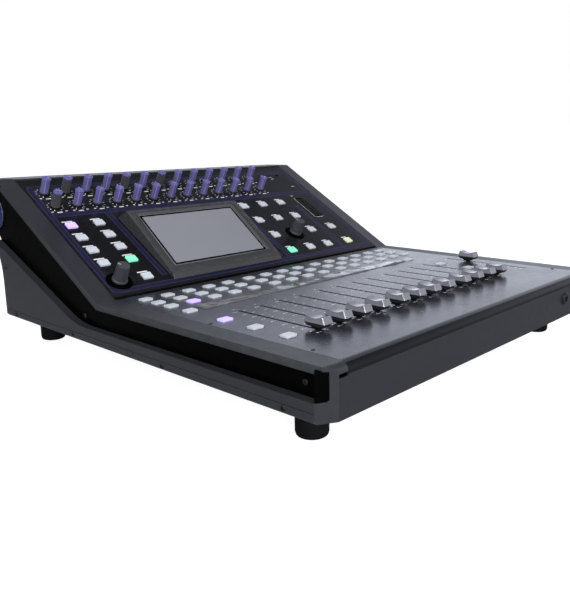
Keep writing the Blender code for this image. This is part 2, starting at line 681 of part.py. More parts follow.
def connector_board(finish, rear):
    """Upright board that carries the round connectors of the rear face."""
    bm = bmesh.new()
    left = SOCKET_FIRST_X - 0.016
    right = SOCKET_FIRST_X + (SOCKET_COLUMNS - 1) * SOCKET_PITCH + 0.016
    top = SOCKET_FIRST_UP + (SOCKET_ROWS - 1) * SOCKET_ROW_PITCH + SOCKET_RADIUS + 0.001
    box(bm, (left, 0.006, -BOARD_SETBACK - BOARD), (right, top, -BOARD_SETBACK))
    board = new_object("connector_board", bm, rear, finish=finish)
    barrels = bmesh.new()
    for x, up, proud in sockets():
        depth = BOARD_SETBACK + proud + BOARD / 2
        place = Matrix.Translation((x, up, proud - depth / 2))
        sizes = {"radius1": SOCKET_RADIUS, "radius2": SOCKET_RADIUS, "depth": depth}
        bmesh.ops.create_cone(barrels, cap_ends=True, segments=12, matrix=place, **sizes)
    boolean(board, "UNION", helper("connector_barrels", barrels, rear))


def power_supply(finish):
    """Closed supply with the mains inlet on its rear end, which stands in the rear panel's window."""
    low = FOOT_HEIGHT + SHEET + GAP
    end = REAR_LOW_Y - 0.020
    bm = bmesh.new()
    box(bm, (INLET_X - 0.028, end - 0.120, low), (INLET_X + 0.028, end, low + 0.046))
    supply = new_object("power_supply", bm, finish=finish)
    inlet = bmesh.new()
    half_x, half_z = INLET_SIZE[0] / 2, INLET_SIZE[1] / 2
    low_corner = (INLET_X - half_x, end - 0.002, INLET_Z - half_z)
    box(inlet, low_corner, (INLET_X + half_x, REAR_LOW_Y + 0.0006, INLET_Z + half_z))
    boolean(supply, "UNION", helper("mains_inlet", inlet))
    pocket = bmesh.new()
    wide, tall, deep = INLET_POCKET
    low_corner = (INLET_X - wide / 2, REAR_LOW_Y - deep, INLET_Z - tall / 2)
    box(pocket, low_corner, (INLET_X + wide / 2, REAR_LOW_Y + 0.005, INLET_Z + tall / 2))
    boolean(supply, "DIFFERENCE", helper("inlet_pocket", pocket))


def power_rocker(finish):
    """Rocker of the mains switch. Its origin is on its pivot, just inside the rear sheet."""
    half = SWITCH_SIZE[1] / 2
    outline = [(0.0042, half), (0.0028, 0.0), (0.0042, -half), (-0.0010, -half), (-0.0060, -0.0040)]
    outline += [(-0.0060, 0.0040), (-0.0010, half)]
    bm = bmesh.new()
    prism(bm, outline, -SWITCH_SIZE[0] / 2, SWITCH_SIZE[0] / 2)
    rocker = new_object("power_rocker", bm, location=(SWITCH_X, REAR_LOW_Y - 0.0030, INLET_Z), finish=finish)
    rocker.rotation_euler = (SWITCH_TILT, 0, 0)


def feet(finish):
    bm = bmesh.new()
    profile = [
        (0, 0),
        (FOOT_RADIUS - 0.0030, 0),
        (FOOT_RADIUS - 0.0010, 0.0012),
        (FOOT_RADIUS - 0.0002, 0.0036),
        (FOOT_RADIUS, FOOT_HEIGHT - GAP),
        (0, FOOT_HEIGHT - GAP),
    ]
    turned(bm, profile, 24)
    mesh = bpy.data.meshes.new("rubber_foot")
    bmesh.ops.recalc_face_normals(bm, faces=bm.faces)
    bm.to_mesh(mesh)
    bm.free()
    mesh.shade_smooth()
    mesh.set_sharp_from_angle(angle=radians(35))
    for end, y in zip(("front", "rear"), FOOT_Y):
        for side, x in (("left", -FOOT_X), ("right", FOOT_X)):
            new_object(f"{end}_{side}_foot", mesh, location=(x, y, 0), finish=finish)


clear_scene()
deck_plane = empty("deck_plane", (0, FOLD_Y, DECK_TOP))
bridge_plane = empty("bridge_plane", (0, FOLD_Y, DECK_TOP), (BRIDGE_ANGLE, 0, 0))
rear_plane = empty("rear_plane", (0, REAR_LOW_Y, FOOT_HEIGHT), (pi / 2, 0, pi))

black_metal = material("black_metal", (0.022, 0.022, 0.026), 0.38, 0.3)
grey_metal = material("grey_metal", (0.055, 0.056, 0.062), 0.34, 0.5)
dark_plastic = material("dark_plastic", (0.030, 0.031, 0.036), 0.45)
key_rubber = material("key_rubber", (0.72, 0.73, 0.75), 0.55)
smoke_plastic = material("smoke_plastic", (0.22, 0.22, 0.24), 0.25)
violet_plastic = material("violet_plastic", (0.13, 0.11, 0.38), 0.35)
display_glass = material("display_glass", (0.10, 0.10, 0.105), 0.20)
board_resin = material("board_resin", (0.02, 0.10, 0.05), 0.60)
foot_rubber = material("foot_rubber", (0.015, 0.015, 0.017), 0.80)

base_tray(black_metal)
deck_panel(grey_metal, deck_plane)
bridge_panel(black_metal, bridge_plane)
rear_panel(black_metal, rear_plane)
cheek("left_cheek", -1, dark_plastic)
cheek("right_cheek", 1, dark_plastic)
screen(dark_plastic, display_glass, bridge_plane)
keymats(key_rubber, deck_plane, bridge_plane)
faders(smoke_plastic, deck_plane)
knobs(violet_plastic, dark_plastic, bridge_plane)
fader_board(board_resin, deck_plane)
bridge_board(board_resin, bridge_plane)
connector_board(board_resin, rear_plane)
power_supply(black_metal)
power_rocker(dark_plastic)
feet(foot_rubber)
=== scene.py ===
import json
import random
from math import atan2, cos, pi, radians, sin

import bpy
from mathutils import Matrix, Vector

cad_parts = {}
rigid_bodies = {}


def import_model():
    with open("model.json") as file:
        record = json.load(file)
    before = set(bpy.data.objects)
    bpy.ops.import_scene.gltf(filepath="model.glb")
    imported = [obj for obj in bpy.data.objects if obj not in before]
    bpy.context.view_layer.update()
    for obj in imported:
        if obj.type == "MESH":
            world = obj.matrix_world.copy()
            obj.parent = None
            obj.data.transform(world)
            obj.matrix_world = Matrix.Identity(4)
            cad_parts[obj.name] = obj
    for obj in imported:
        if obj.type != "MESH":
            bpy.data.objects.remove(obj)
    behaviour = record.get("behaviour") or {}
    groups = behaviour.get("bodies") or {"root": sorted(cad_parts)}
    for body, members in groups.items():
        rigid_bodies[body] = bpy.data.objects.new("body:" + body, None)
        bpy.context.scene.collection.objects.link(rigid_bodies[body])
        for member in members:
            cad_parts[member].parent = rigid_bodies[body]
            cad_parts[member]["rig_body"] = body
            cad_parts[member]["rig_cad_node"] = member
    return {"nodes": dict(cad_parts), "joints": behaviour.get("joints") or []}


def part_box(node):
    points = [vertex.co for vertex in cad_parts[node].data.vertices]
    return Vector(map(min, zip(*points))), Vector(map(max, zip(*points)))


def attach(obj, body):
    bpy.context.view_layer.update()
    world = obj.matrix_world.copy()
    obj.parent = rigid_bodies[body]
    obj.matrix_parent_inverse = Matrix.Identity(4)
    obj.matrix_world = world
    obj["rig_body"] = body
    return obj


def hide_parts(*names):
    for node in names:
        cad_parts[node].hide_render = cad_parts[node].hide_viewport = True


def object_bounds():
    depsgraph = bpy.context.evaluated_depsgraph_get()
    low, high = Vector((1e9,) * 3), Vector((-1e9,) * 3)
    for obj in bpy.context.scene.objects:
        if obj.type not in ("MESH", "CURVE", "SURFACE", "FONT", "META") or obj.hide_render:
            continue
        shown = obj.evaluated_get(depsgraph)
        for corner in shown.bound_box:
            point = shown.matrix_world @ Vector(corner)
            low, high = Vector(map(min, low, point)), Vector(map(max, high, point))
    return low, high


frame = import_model()
cad_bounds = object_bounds()

# ---------------------------------------------------------------------------------------------
# Where things are: the table, the camera and the light. The console stands on a pale floor
# in a soft white room, which is darker overhead and behind the viewer.
# ---------------------------------------------------------------------------------------------


class Value:
    """A number that varies over a surface. Arithmetic on it adds Math nodes."""

    def __init__(self, tree, socket):
        self.tree = tree
        self.socket = socket

    def maths(self, operation, other=0.0, turned=False):
        node = self.tree.nodes.new("ShaderNodeMath")
        node.operation = operation
        pair = (other, self) if turned else (self, other)
        for slot, item in zip(node.inputs, pair):
            feed(self.tree, slot, item)
        return Value(self.tree, node.outputs[0])

    def __add__(self, other):
        return self.maths("ADD", other)

    def __sub__(self, other):
        return self.maths("SUBTRACT", other)

    def __rsub__(self, other):
        return self.maths("SUBTRACT", other, turned=True)

    def __mul__(self, other):
        return self.maths("MULTIPLY", other)

    def held(self):
        return self.maths("MAXIMUM", 0.0).maths("MINIMUM", 1.0)

    __radd__ = __add__
    __rmul__ = __mul__


def feed(tree, slot, item):
    if isinstance(item, Value):
        tree.links.new(item.socket, slot)
    else:
        slot.default_value = item


def add_node(tree, kind, settings=(), inputs=(), output=0):
    """Adds any other node: its settings first, then the values or links of its sockets."""
    node = tree.nodes.new("ShaderNode" + kind)
    for name, setting in dict(settings).items():
        if name == "stops":
            for stop, (place, shade) in zip(node.color_ramp.elements, setting):
                stop.position = place
                stop.color = shade
        else:
            setattr(node, name, setting)
    for name, item in dict(inputs).items():
        feed(tree, node.inputs[name], item)
    return Value(tree, node.outputs[output])


bpy.context.scene.view_settings.view_transform = "Standard"
room = bpy.data.worlds.new("soft_room")
room.use_nodes = True
bpy.context.scene.world = room
tree = room.node_tree
heading = add_node(tree, "TexCoord")
across = add_node(tree, "SeparateXYZ", inputs={"Vector": heading})
along = Value(tree, across.socket.node.outputs[1])
upward = Value(tree, across.socket.node.outputs[2])
ahead = (across * 0.90 + along * 0.50 + 0.10).held()
low_band = (1.20 - upward * 1.75).held()
brightness = ahead * low_band * 1.60 + 0.06
seen = add_node(tree, "LightPath")
brightness = seen * 1.0 + (1.0 - seen) * brightness
tones = {0: seen, 6: (0.83, 0.875, 1.0, 1), 7: (1, 1, 1, 1)}
cool_white = add_node(tree, "Mix", {"data_type": "RGBA"}, tones, 2)
feed(tree, tree.nodes["Background"].inputs["Color"], cool_white)
feed(tree, tree.nodes["Background"].inputs["Strength"], brightness)

lens = bpy.data.cameras.new("view")
lens.sensor_fit = "VERTICAL"
lens.sensor_height = 24
lens.lens = 27.64
lens.shift_x = -0.0406
lens.shift_y = -0.0371
lens.clip_start = 0.01
camera = bpy.data.objects.new("view", lens)
camera.location = (-0.5589, -0.5564, 0.2238)
camera.rotation_euler = (radians(78.595), radians(0.784), radians(-47.259))
bpy.context.scene.collection.objects.link(camera)
bpy.context.scene.camera = camera


def soft_box(name, place, towards, size, power):
    light = bpy.data.lights.new(name, "AREA")
    light.shape = "RECTANGLE"
    light.size, light.size_y = size
    light.energy = power
    lamp = bpy.data.objects.new(name, light)
    lamp.location = place
    aim = Vector(towards) - Vector(place)
    lamp.rotation_euler = aim.to_track_quat("-Z", "Y").to_euler()
    bpy.context.scene.collection.objects.link(lamp)


soft_box("key_light", (-0.9, -0.5, 2.0), (0.0, 0.0, 0.1), (0.9, 0.9), 26)
soft_box("side_light", (-1.8, 0.5, 0.7), (0.0, 0.0, 0.05), (0.6, 0.6), 5)
soft_box("front_light", (0.3, -1.9, 0.8), (0.0, 0.0, 0.05), (1.0, 0.6), 9)
soft_box("fill_light", (-0.85, -1.25, 0.35), (0.0, -0.15, 0.08), (0.75, 0.35), 10)


def deselect():
    if bpy.context.mode != "OBJECT":
        bpy.ops.object.mode_set(mode="OBJECT")
    bpy.ops.object.select_all(action="DESELECT")


def finish_named(name, colour, roughness, metallic=0.0, specular=0.5, grain=(1500, 0.3),
                 patch=0.12, wear_and_highlight=0.0, coat=0.0):
    """A fine-grained surface: soft patches of tone and gloss, a moulded or sprayed grain, and paler edges:
    rubbed edges, and on the knob crowns also painted highlight along the rim.
    """
    made = bpy.data.materials.new(name)
    made.use_nodes = True
    tree = made.node_tree
    shader = tree.nodes["Principled BSDF"]
    spot = add_node(tree, "TexCoord", output=3)
    cloud = add_node(tree, "TexNoise", inputs={"Vector": spot, "Scale": 14.0, "Detail": 4.0})
    speck = add_node(tree, "TexNoise", inputs={"Vector": spot, "Scale": grain[0], "Detail": 2.0})
    rub = add_node(tree, "TexNoise", inputs={"Vector": spot, "Scale": 120.0, "Detail": 5.0})
    deep = [max(channel * (1 - patch), 0.0) for channel in colour]
    pale = [min(channel * (1 + patch) + 0.002, 1.0) for channel in colour]
    base = add_node(tree, "Mix", {"data_type": "RGBA"}, {0: cloud, 6: (*deep, 1), 7: (*pale, 1)}, 2)
    if wear_and_highlight:
        # Convex edges are made paler: rubbed edges, and on the knob crowns a painted highlight along the rim.
        edge = add_node(tree, "NewGeometry", output=7)
        edge_wear_and_highlight = ((edge - 0.53) * 9.0 * (rub * 1.6 - 0.3)).held() * wear_and_highlight
        bright = [min(channel * 1.8 + 0.10, 1.0) for channel in colour]
        base = add_node(tree, "Mix", {"data_type": "RGBA"}, {0: edge_wear_and_highlight, 6: base, 7: (*bright, 1)}, 2)
    feed(tree, shader.inputs["Base Color"], base)
    gloss = (cloud - 0.5) * 0.16 + (rub - 0.5) * 0.10 + (speck - 0.5) * 0.06 + roughness
    feed(tree, shader.inputs["Roughness"], gloss.held())
    shader.inputs["Metallic"].default_value = metallic
    shader.inputs["Specular IOR Level"].default_value = specular
    if coat:
        shader.inputs["Coat Weight"].default_value = coat
        shader.inputs["Coat Roughness"].default_value = 0.08
    height = speck * 0.8 + rub * 0.2
    relief = add_node(tree, "Bump", {}, {"Strength": grain[1], "Distance": 0.00006, "Height": height})
    feed(tree, shader.inputs["Normal"], relief)
    return made


def dress(piece, finish, body=None, nodes=(), name=None):
    """Gives a finished piece its material and name, attaches it to what it moves with, and hides the CAD
    nodes it replaces.
    """
    piece.data.materials.clear()
    piece.data.materials.append(finish)
    for face in piece.data.polygons:
        face.material_index = 0
    if name:
        piece.name = name
    if body:
        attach(piece, body)
    if nodes:
        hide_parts(*nodes)
    return piece


deselect()
bpy.ops.mesh.primitive_plane_add(size=14, location=(0, 0, 0))
floor = bpy.context.object
floor.name = "pale_floor"
floor_finish = finish_named("pale_floor_paint", (0.42, 0.42, 0.44), 0.75, specular=0.05, grain=(60, 0.05),
                            patch=0.01)
floor_shader = floor_finish.node_tree.nodes["Principled BSDF"]
floor_tree = floor_finish.node_tree
tones = {0: add_node(floor_tree, "LightPath"), 6: (0, 0, 0, 1), 7: (1, 1, 1, 1)}
glow = add_node(floor_tree, "Mix", {"data_type": "RGBA"}, tones, 2)
feed(floor_tree, floor_shader.inputs["Emission Color"], glow)
floor_shader.inputs["Emission Strength"].default_value = 0.92
dress(floor, floor_finish)

# ---------------------------------------------------------------------------------------------
# Planes of the console: the level deck and the inclined bridge that rises from its rear edge.
# Pieces are modelled on a flat board at the origin and carried to their plane when done.
# ---------------------------------------------------------------------------------------------

deck_low, deck_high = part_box("deck_panel")
fold = Vector((0, deck_high.y + 0.0006, deck_high.z))
joint_of = {joint["child"]: joint for joint in frame["joints"]}
lean = Vector(joint_of["upper_knob_01_body"]["axis"])
on_deck = Matrix.Translation(fold)
on_bridge = on_deck @ Matrix.Rotation(atan2(-lean.y, lean.z), 4, "X")
off_bridge = on_bridge.inverted()
front_y = deck_low.y

# ---------------------------------------------------------------------------------------------
# Base tray, circuit boards and power supply. Folded black sheet closes the console below, and the
# boards stand under the panels, where only their edges show through the slots and openings.
# ---------------------------------------------------------------------------------------------

black_coat = finish_named("black_powder_coat", (0.014, 0.014, 0.016), 0.42, specular=0.35, grain=(1100, 0.35),
                          wear_and_highlight=0.35)
board_mask = finish_named("board_mask", (0.004, 0.014, 0.009), 0.5, grain=(600, 0.3))
for node in ("base_tray", "power_supply"):
    dress(frame["nodes"][node], black_coat)
for node in ("fader_board", "bridge_board", "connector_board"):
    dress(frame["nodes"][node], board_mask)

# ---------------------------------------------------------------------------------------------
# Screw heads. Black-plated pan heads with a cross recess, driven into the cheeks and the deck.
# ---------------------------------------------------------------------------------------------

screw_plate = finish_named("black_screw_plate", (0.03, 0.03, 0.033), 0.30, 0.8, grain=(2200, 0.2), wear_and_highlight=0.5)


def block(low, high, name="block"):
    low, high = Vector(low), Vector(high)
    deselect()
    bpy.ops.mesh.primitive_cube_add(size=1, location=(low + high) / 2, scale=high - low)
    bpy.ops.object.transform_apply(location=True, rotation=True, scale=True)
    bpy.context.object.name = name
    return bpy.context.object


def drum(radius, low, high, sides=48, name="drum", centre=(0, 0)):
    deselect()
    middle = (centre[0], centre[1], (low + high) / 2)
    bpy.ops.mesh.primitive_cylinder_add(vertices=sides, radius=radius, depth=high - low, location=middle)
    bpy.ops.object.transform_apply(location=True, rotation=True, scale=True)
    bpy.context.object.name = name
    return bpy.context.object


def pick(piece, kind, test):
    """Opens a piece for editing with the corners, edges or faces that pass the test selected."""
    deselect()
    piece.select_set(True)
    bpy.context.view_layer.objects.active = piece
    mesh = piece.data
    for group in (mesh.vertices, mesh.edges, mesh.polygons):
        group.foreach_set("select", [False] * len(group))
    if kind == "VERT":
        for corner in mesh.vertices:
            corner.select = bool(test(corner.co))
    elif kind == "EDGE":
        for edge in mesh.edges:
            ends = [mesh.vertices[index].co for index in edge.vertices]
            edge.select = bool(test(*ends))
    else:
        for face in mesh.polygons:
            face.select = bool(test(face.center, face.normal))
    bpy.context.tool_settings.mesh_select_mode = (kind == "VERT", kind == "EDGE", kind == "FACE")
    bpy.ops.object.mode_set(mode="EDIT")


def done():
    bpy.ops.object.mode_set(mode="OBJECT")


def round_edges(piece, test, width, segments=3):
    pick(piece, "EDGE", test)
    bpy.ops.mesh.bevel(offset=width, segments=segments, affect="EDGES")
    done()


def apply_modifiers(piece):
    deselect()
    piece.select_set(True)
    bpy.context.view_layer.objects.active = piece
    for modifier in list(piece.modifiers):
        bpy.ops.object.modifier_apply(modifier=modifier.name)


def soften(piece, width=0.0003, segments=2, angle=30):
    """Rounds every sharp edge a little and shades the rest smoothly."""
    if width:
        bevel = piece.modifiers.new("soft_edges", "BEVEL")
        bevel.width = width
        bevel.segments = segments
        bevel.limit_method = "ANGLE"
        bevel.angle_limit = radians(angle)
        bevel.harden_normals = False
        apply_modifiers(piece)
    deselect()
    piece.select_set(True)
    bpy.context.view_layer.objects.active = piece
    bpy.ops.object.shade_smooth_by_angle(angle=radians(35))
    level = piece.modifiers.new("level_faces", "WEIGHTED_NORMAL")
    level.keep_sharp = True
    level.weight = 90
    apply_modifiers(piece)
    return piece


def carved(piece, *cutters):
    for cutter in cutters:
        cut = piece.modifiers.new("carve", "BOOLEAN")
        cut.operation = "DIFFERENCE"
        cut.solver = "EXACT"
        cut.object = cutter
    apply_modifiers(piece)
    for cutter in cutters:
        bpy.data.objects.remove(cutter, do_unlink=True)
    return piece


def screw_head(radius, height):
    """A pan head whose top stands `height` above z = 0, with a cross recess."""
    head = drum(radius, -0.0006, height, 24)
    round_edges(head, lambda a, b: min(a.z, b.z) > height - 1e-6, height * 0.7, 3)
    reach = radius * 0.62
    slim = radius * 0.13
    bars = [block((-reach, -slim, height * 0.2), (reach, slim, height + 0.001))]
    bars.append(block((-slim, -reach, height * 0.2), (slim, reach, height + 0.001)))
    return soften(carved(head, *bars), 0)


# ---------------------------------------------------------------------------------------------
# Feet. Tapered black rubber cups, each with a screw sunk in the middle of its sole.
# ---------------------------------------------------------------------------------------------

foot_rubber = finish_named("foot_rubber", (0.005, 0.005, 0.007), 0.72, specular=0.15, grain=(900, 0.5))


def shift(x, y, z=0.0):
    return Matrix.Translation((x, y, z))


def twin(piece, place, name="twin"):
    """A copy with its own mesh, carried to a place."""
    made = piece.copy()
    made.data = piece.data.copy()
    made.data.transform(place)
    made.name = name
    bpy.context.scene.collection.objects.link(made)
    return made


def refined(node, width, segments=2, angle=30):
    """A copy of a CAD node, healed into clean flat faces and with its edges rounded."""
    piece = twin(frame["nodes"][node], Matrix.Identity(4), node + "_refined")
    piece.parent = None
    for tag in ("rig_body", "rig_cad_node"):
        if tag in piece:
            del piece[tag]
    pick(piece, "VERT", lambda corner: True)
    bpy.ops.mesh.remove_doubles(threshold=1e-5)
    bpy.ops.mesh.normals_make_consistent(inside=False)
    bpy.ops.mesh.dissolve_limited(angle_limit=radians(0.5))
    done()
    return soften(piece, width, segments, angle)


for end in ("front", "rear"):
    for hand in ("left", "right"):
        node = f"{end}_{hand}_foot"
        foot = refined(node, 0.0008, 3, 30)
        low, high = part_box(node)
        middle = (low + high) / 2
        carved(foot, drum(0.0065, -0.001, 0.0040, 32, centre=middle.xy))
        soften(foot, 0)
        dress(foot, foot_rubber, "chassis", [node], node + "_cup")
        screw = screw_head(0.0042, 0.0016)
        screw.data.transform(shift(middle.x, middle.y, 0.0048) @ Matrix.Rotation(pi, 4, "X"))
        dress(screw, screw_plate, "chassis", name=node + "_screw")

# ---------------------------------------------------------------------------------------------
# Side cheeks. Each is one moulding: a textured lip laps the panels, a long recess under it is
# faced in deep black that wraps the front corner, and a satin rail below it carries the body.
# ---------------------------------------------------------------------------------------------

cheek_plastic = finish_named("cheek_plastic", (0.025, 0.026, 0.032), 0.36, specular=0.45, grain=(1300, 0.55),
                             wear_and_highlight=0.25)
inlay_gloss = finish_named("inlay_gloss", (0.0, 0.0, 0.0), 0.30, specular=0.02, grain=(300, 0.04))
badge_blue = finish_named("badge_blue", (0.012, 0.018, 0.12), 0.22, specular=0.6, grain=(400, 0.1))
badge_ring = finish_named("badge_ring", (0.55, 0.56, 0.62), 0.30, metallic=0.6, grain=(900, 0.2))
half_width = cad_bounds[1].x
recess_depth = 0.0085


def joined(pieces, name):
    deselect()
    for piece in pieces:
        piece.select_set(True)
    bpy.context.view_layer.objects.active = pieces[0]
    if len(pieces) > 1:
        bpy.ops.object.join()
    pieces[0].name = name
    return pieces[0]


def repeated(piece, places, name):
    """One object made of a copy at each place. The pattern piece itself goes."""
    made = joined([twin(piece, place) for place in places], name)
    bpy.data.objects.remove(piece, do_unlink=True)
    return made


for side, hand in ((-1, "left"), (1, "right")):
    node = hand + "_cheek"
    outer = side * half_width
    recess = outer - side * recess_depth
    inlay = twin(frame["nodes"][node], Matrix.Identity(4))
    inlay.parent = None
    del inlay["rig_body"], inlay["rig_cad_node"]
    pick(inlay, "VERT", lambda corner: True)
    bpy.ops.mesh.remove_doubles(threshold=1e-5)
    done()
    pick(inlay, "FACE", lambda spot, way: abs(spot.x - recess) > 1e-4 or abs(way.x) < 0.9)
    bpy.ops.mesh.delete(type="FACE")
    bpy.ops.mesh.select_all(action="SELECT")
    bpy.ops.mesh.dissolve_limited(angle_limit=radians(0.5))
    done()
    skin = inlay.modifiers.new("thickness", "SOLIDIFY")
    skin.thickness = 0.0005
    skin.offset = 1
    apply_modifiers(inlay)
    soften(inlay, 0.00012, 1)
    dress(inlay, inlay_gloss, "chassis", name=hand + "_cheek_inlay")

    nose_wide, nose_low, nose_top = 0.0105, 0.0478, 0.0700
    nose = block((-nose_wide, 0.0030, nose_low), (0.0, 0.0158, nose_top))
    nose.data.transform(Matrix.Translation((half_width, front_y, 0.0)))
    pick(nose, "VERT", lambda corner: corner.y < front_y + 0.004 and corner.x > half_width - 0.001)
    bpy.ops.transform.translate(value=(-0.0002, 0.0058, 0.0))
    done()
    pick(nose, "VERT", lambda corner: corner.y > front_y + 0.015 and corner.x > half_width - 0.001)
    bpy.ops.transform.translate(value=(-0.0083, 0.0, 0.0))
    done()
    nose.data.transform(Matrix.Diagonal((side, 1, 1, 1)))
    if side < 0:
        nose.data.flip_normals()
    dress(soften(nose, 0.0009, 3), inlay_gloss, "chassis", name=hand + "_inlay_nose")

    cheek = refined(node, 0.0007, 3, 32)
    crease_low, crease_high, crease_deep = 0.0395, 0.0402, 0.0004
    floor_x = outer - side * crease_deep
    crease = block((min(outer, floor_x), front_y - 0.01, crease_low), (max(outer, floor_x), 0.4, crease_high))
    carved(cheek, crease)
    soften(cheek, 0)
    dress(cheek, cheek_plastic, "chassis", [node], hand + "_cheek_moulding")

    turn = Matrix.Rotation(side * pi / 2, 4, "Y")
    rail_spots = ((0.179, 0.088), (0.163, 0.037), (0.040, 0.037), (-0.109, 0.036), (-0.254, 0.0365))
    spots = [shift(outer - side * 0.0002, fold.y + away, up) @ turn for away, up in rail_spots]
    for away, up in ((0.027, 0.056), (-0.269, 0.0575)):
        spots.append(shift(recess + side * 0.0004, fold.y + away, up) @ turn)
    screws = repeated(screw_head(0.0024, 0.0009), spots, hand + "_cheek_screws")
    dress(screws, screw_plate, "chassis")

    badge_at = shift(recess, fold.y + 0.2095, 0.1462) @ turn
    disc = drum(0.0172, 0.0, 0.0022, 64)
    round_edges(disc, lambda a, b: min(a.z, b.z) > 0.0021, 0.0006, 3)
    pick(disc, "FACE", lambda spot, way: way.z > 0.9 and spot.z > 0.0021)
    bpy.ops.mesh.inset(thickness=0.0028, depth=0.0)
    bpy.ops.mesh.inset(thickness=0.0006, depth=-0.0004)
    bpy.ops.mesh.inset(thickness=0.0030, depth=0.0)
    done()
    disc.data.transform(badge_at)
    dress(soften(disc, 0), badge_blue, "chassis", name=hand + "_badge_disc")
    deselect()
    bpy.ops.mesh.primitive_torus_add(major_radius=0.0180, minor_radius=0.0009, major_segments=72,
                                     minor_segments=12)
    ring = bpy.context.object
    ring.data.transform(badge_at @ shift(0, 0, 0.0012))
    dress(soften(ring, 0), badge_ring, "chassis", name=hand + "_badge_ring")

# ---------------------------------------------------------------------------------------------
# Deck panel. Folded steel, sprayed dark metallic grey on top and duller black down its front; the upper band
# of its rolled front edge is painted near black as painted shade.
# Four small black screws hold it beside the cheeks, and a jack socket sits in its front face.
# ---------------------------------------------------------------------------------------------

deck_paint = finish_named("deck_paint", (0.040, 0.043, 0.056), 0.25, metallic=0.3, specular=1.0,
                          grain=(2000, 0.08))
front_coat = finish_named("front_coat", (0.022, 0.023, 0.029), 0.40, specular=0.35, grain=(1800, 0.3))
# The upper band of the rolled front edge is painted near black: painted shade where the bend turns away from
# the light.
roll_coat = finish_named("roll_coat", (0.004, 0.004, 0.005), 0.35, specular=0.2, grain=(1800, 0.3))
deck = refined("deck_panel", 0.00018, 2, 40)
dress(deck, deck_paint, "chassis", ["deck_panel"], "deck_sheet")
deck.data.materials.append(roll_coat)
deck.data.materials.append(front_coat)
# Faces of the rolled front edge: the upper band gets the near-black painted shade, the face below it the
# duller black front paint.
roll_reach, roll_top, roll_low = 0.010, 0.0012, 0.009
for face in deck.data.polygons:
    if face.center.y < front_y + roll_reach and face.center.z < deck_high.z - roll_top:
        face.material_index = 1 if face.center.z > deck_high.z - roll_low else 2

pattern = screw_head(0.0017, 0.0005)
places = [on_deck @ shift(side * x, y) for side in (-1, 1) for x, y in ((0.2055, -0.141), (0.2040, -0.256))]
dress(repeated(pattern, places, "deck_screws"), screw_plate, "chassis")

jack = drum(0.0060, 0.0, 0.0022, 48)
round_edges(jack, lambda a, b: min(a.z, b.z) > 0.0021, 0.0007, 3)
carved(jack, drum(0.0033, -0.001, 0.004, 32))
jack_back = drum(0.0036, 0.0, 0.0004, 32)
jack_x, jack_z = 0.1534, 0.052
face_on = shift(jack_x, front_y, jack_z) @ Matrix.Rotation(pi / 2, 4, "X")
for piece in (jack, jack_back):
    piece.data.transform(face_on)
dress(soften(jack, 0), black_coat, "chassis", name="headphone_socket")
dress(jack_back, inlay_gloss, "chassis", name="headphone_socket_bore")

# ---------------------------------------------------------------------------------------------
# Printed scales of the deck. White ink beside each fader slot: ticks on both sides and the level
# numbers on the left, with a short rule under each key column.
# ---------------------------------------------------------------------------------------------

white_ink = finish_named("white_ink", (0.88, 0.89, 0.92), 0.5, grain=(2500, 0.15), patch=0.1)
ink_low, ink_high = -0.00005, 0.00004
fader_names = [f"fader_{index + 1:02d}" for index in range(12)] + ["fader_master"]
fader_at = {}
for name in fader_names:
    low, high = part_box(name)
    fader_at[name] = (low + high) / 2 - fold
slide_low, slide_high = joint_of["fader_01_body"]["range_m"]
travel = slide_high - slide_low
slot_low = fader_at["fader_01"].y + slide_low


def rule(x, y, wide, deep, turn=0.0):
    mark = block((-wide / 2, -deep / 2, ink_low), (wide / 2, deep / 2, ink_high))
    mark.data.transform(shift(x, y) @ Matrix.Rotation(turn, 4, "Z"))
    return mark


def numeral(words, x, y, size, align="RIGHT"):
    deselect()
    bpy.ops.object.text_add(location=(0, 0, 0))
    made = bpy.context.object
    made.data.body = words
    made.data.size = size
    made.data.align_x = align
    made.data.align_y = "CENTER"
    made.data.resolution_u = 2
    made.data.extrude = (ink_high - ink_low) / 2
    bpy.ops.object.convert(target="MESH")
    pick(made, "VERT", lambda corner: True)
    bpy.ops.mesh.remove_doubles(threshold=1e-6)
    bpy.ops.mesh.normals_make_consistent(inside=False)
    done()
    made.data.transform(shift(x, y, (ink_high + ink_low) / 2))
    return made


levels = (("10", 1.0), ("5", 0.88), ("0", 0.76), ("5", 0.64), ("10", 0.52), ("20", 0.38), ("30", 0.26),
          ("40", 0.16), ("60", 0.07), ("70", 0.0))
marks = []
for words, share in levels:
    y = slot_low + share * travel
    for side in (-1, 1):
        marks.append(rule(side * 0.0046, y, 0.0030, 0.00030 if words != "0" else 0.0005))
    marks.append(numeral(words, -0.0066, y, 0.0026))
scale = joined(marks, "scale_pattern")
places = [on_deck @ shift(fader_at[name].x, 0) for name in fader_names]
scale = repeated(scale, places, "deck_fader_scales")
dress(scale, white_ink, "chassis")

key_columns = [-0.1894, *[fader_at[name].x - 0.0033 for name in fader_names[:12]], 0.1584, 0.1818]
key_rows = (-0.0234, -0.0439, -0.0644)
side_rows = (-0.0925, -0.1408, -0.1786, -0.2164)
random.seed(4)
legends = []
for x in key_columns:
    for y in key_rows:
        legends.append(rule(x - 0.0030, y + 0.0068, 0.0040 + random.random() * 0.003, 0.0007))
for index, name in enumerate(fader_names[:12]):
    legends.append(numeral(str(index + 1), fader_at[name].x, slot_low + travel + 0.0090, 0.0030, "CENTER"))
for x, rows in ((-0.1894, side_rows), (0.1500, side_rows[:3])):
    for y in rows:
        legends.append(rule(x, y + 0.0070, 0.0075, 0.0008))
legends = joined(legends, "deck_legends")
legends.data.transform(on_deck)
dress(legends, white_ink, "chassis")

# ---------------------------------------------------------------------------------------------
# Writing strip. A thin glossy plastic film lies across the deck under the keys, a little wavy,
# where an operator writes what each channel carries.
# ---------------------------------------------------------------------------------------------

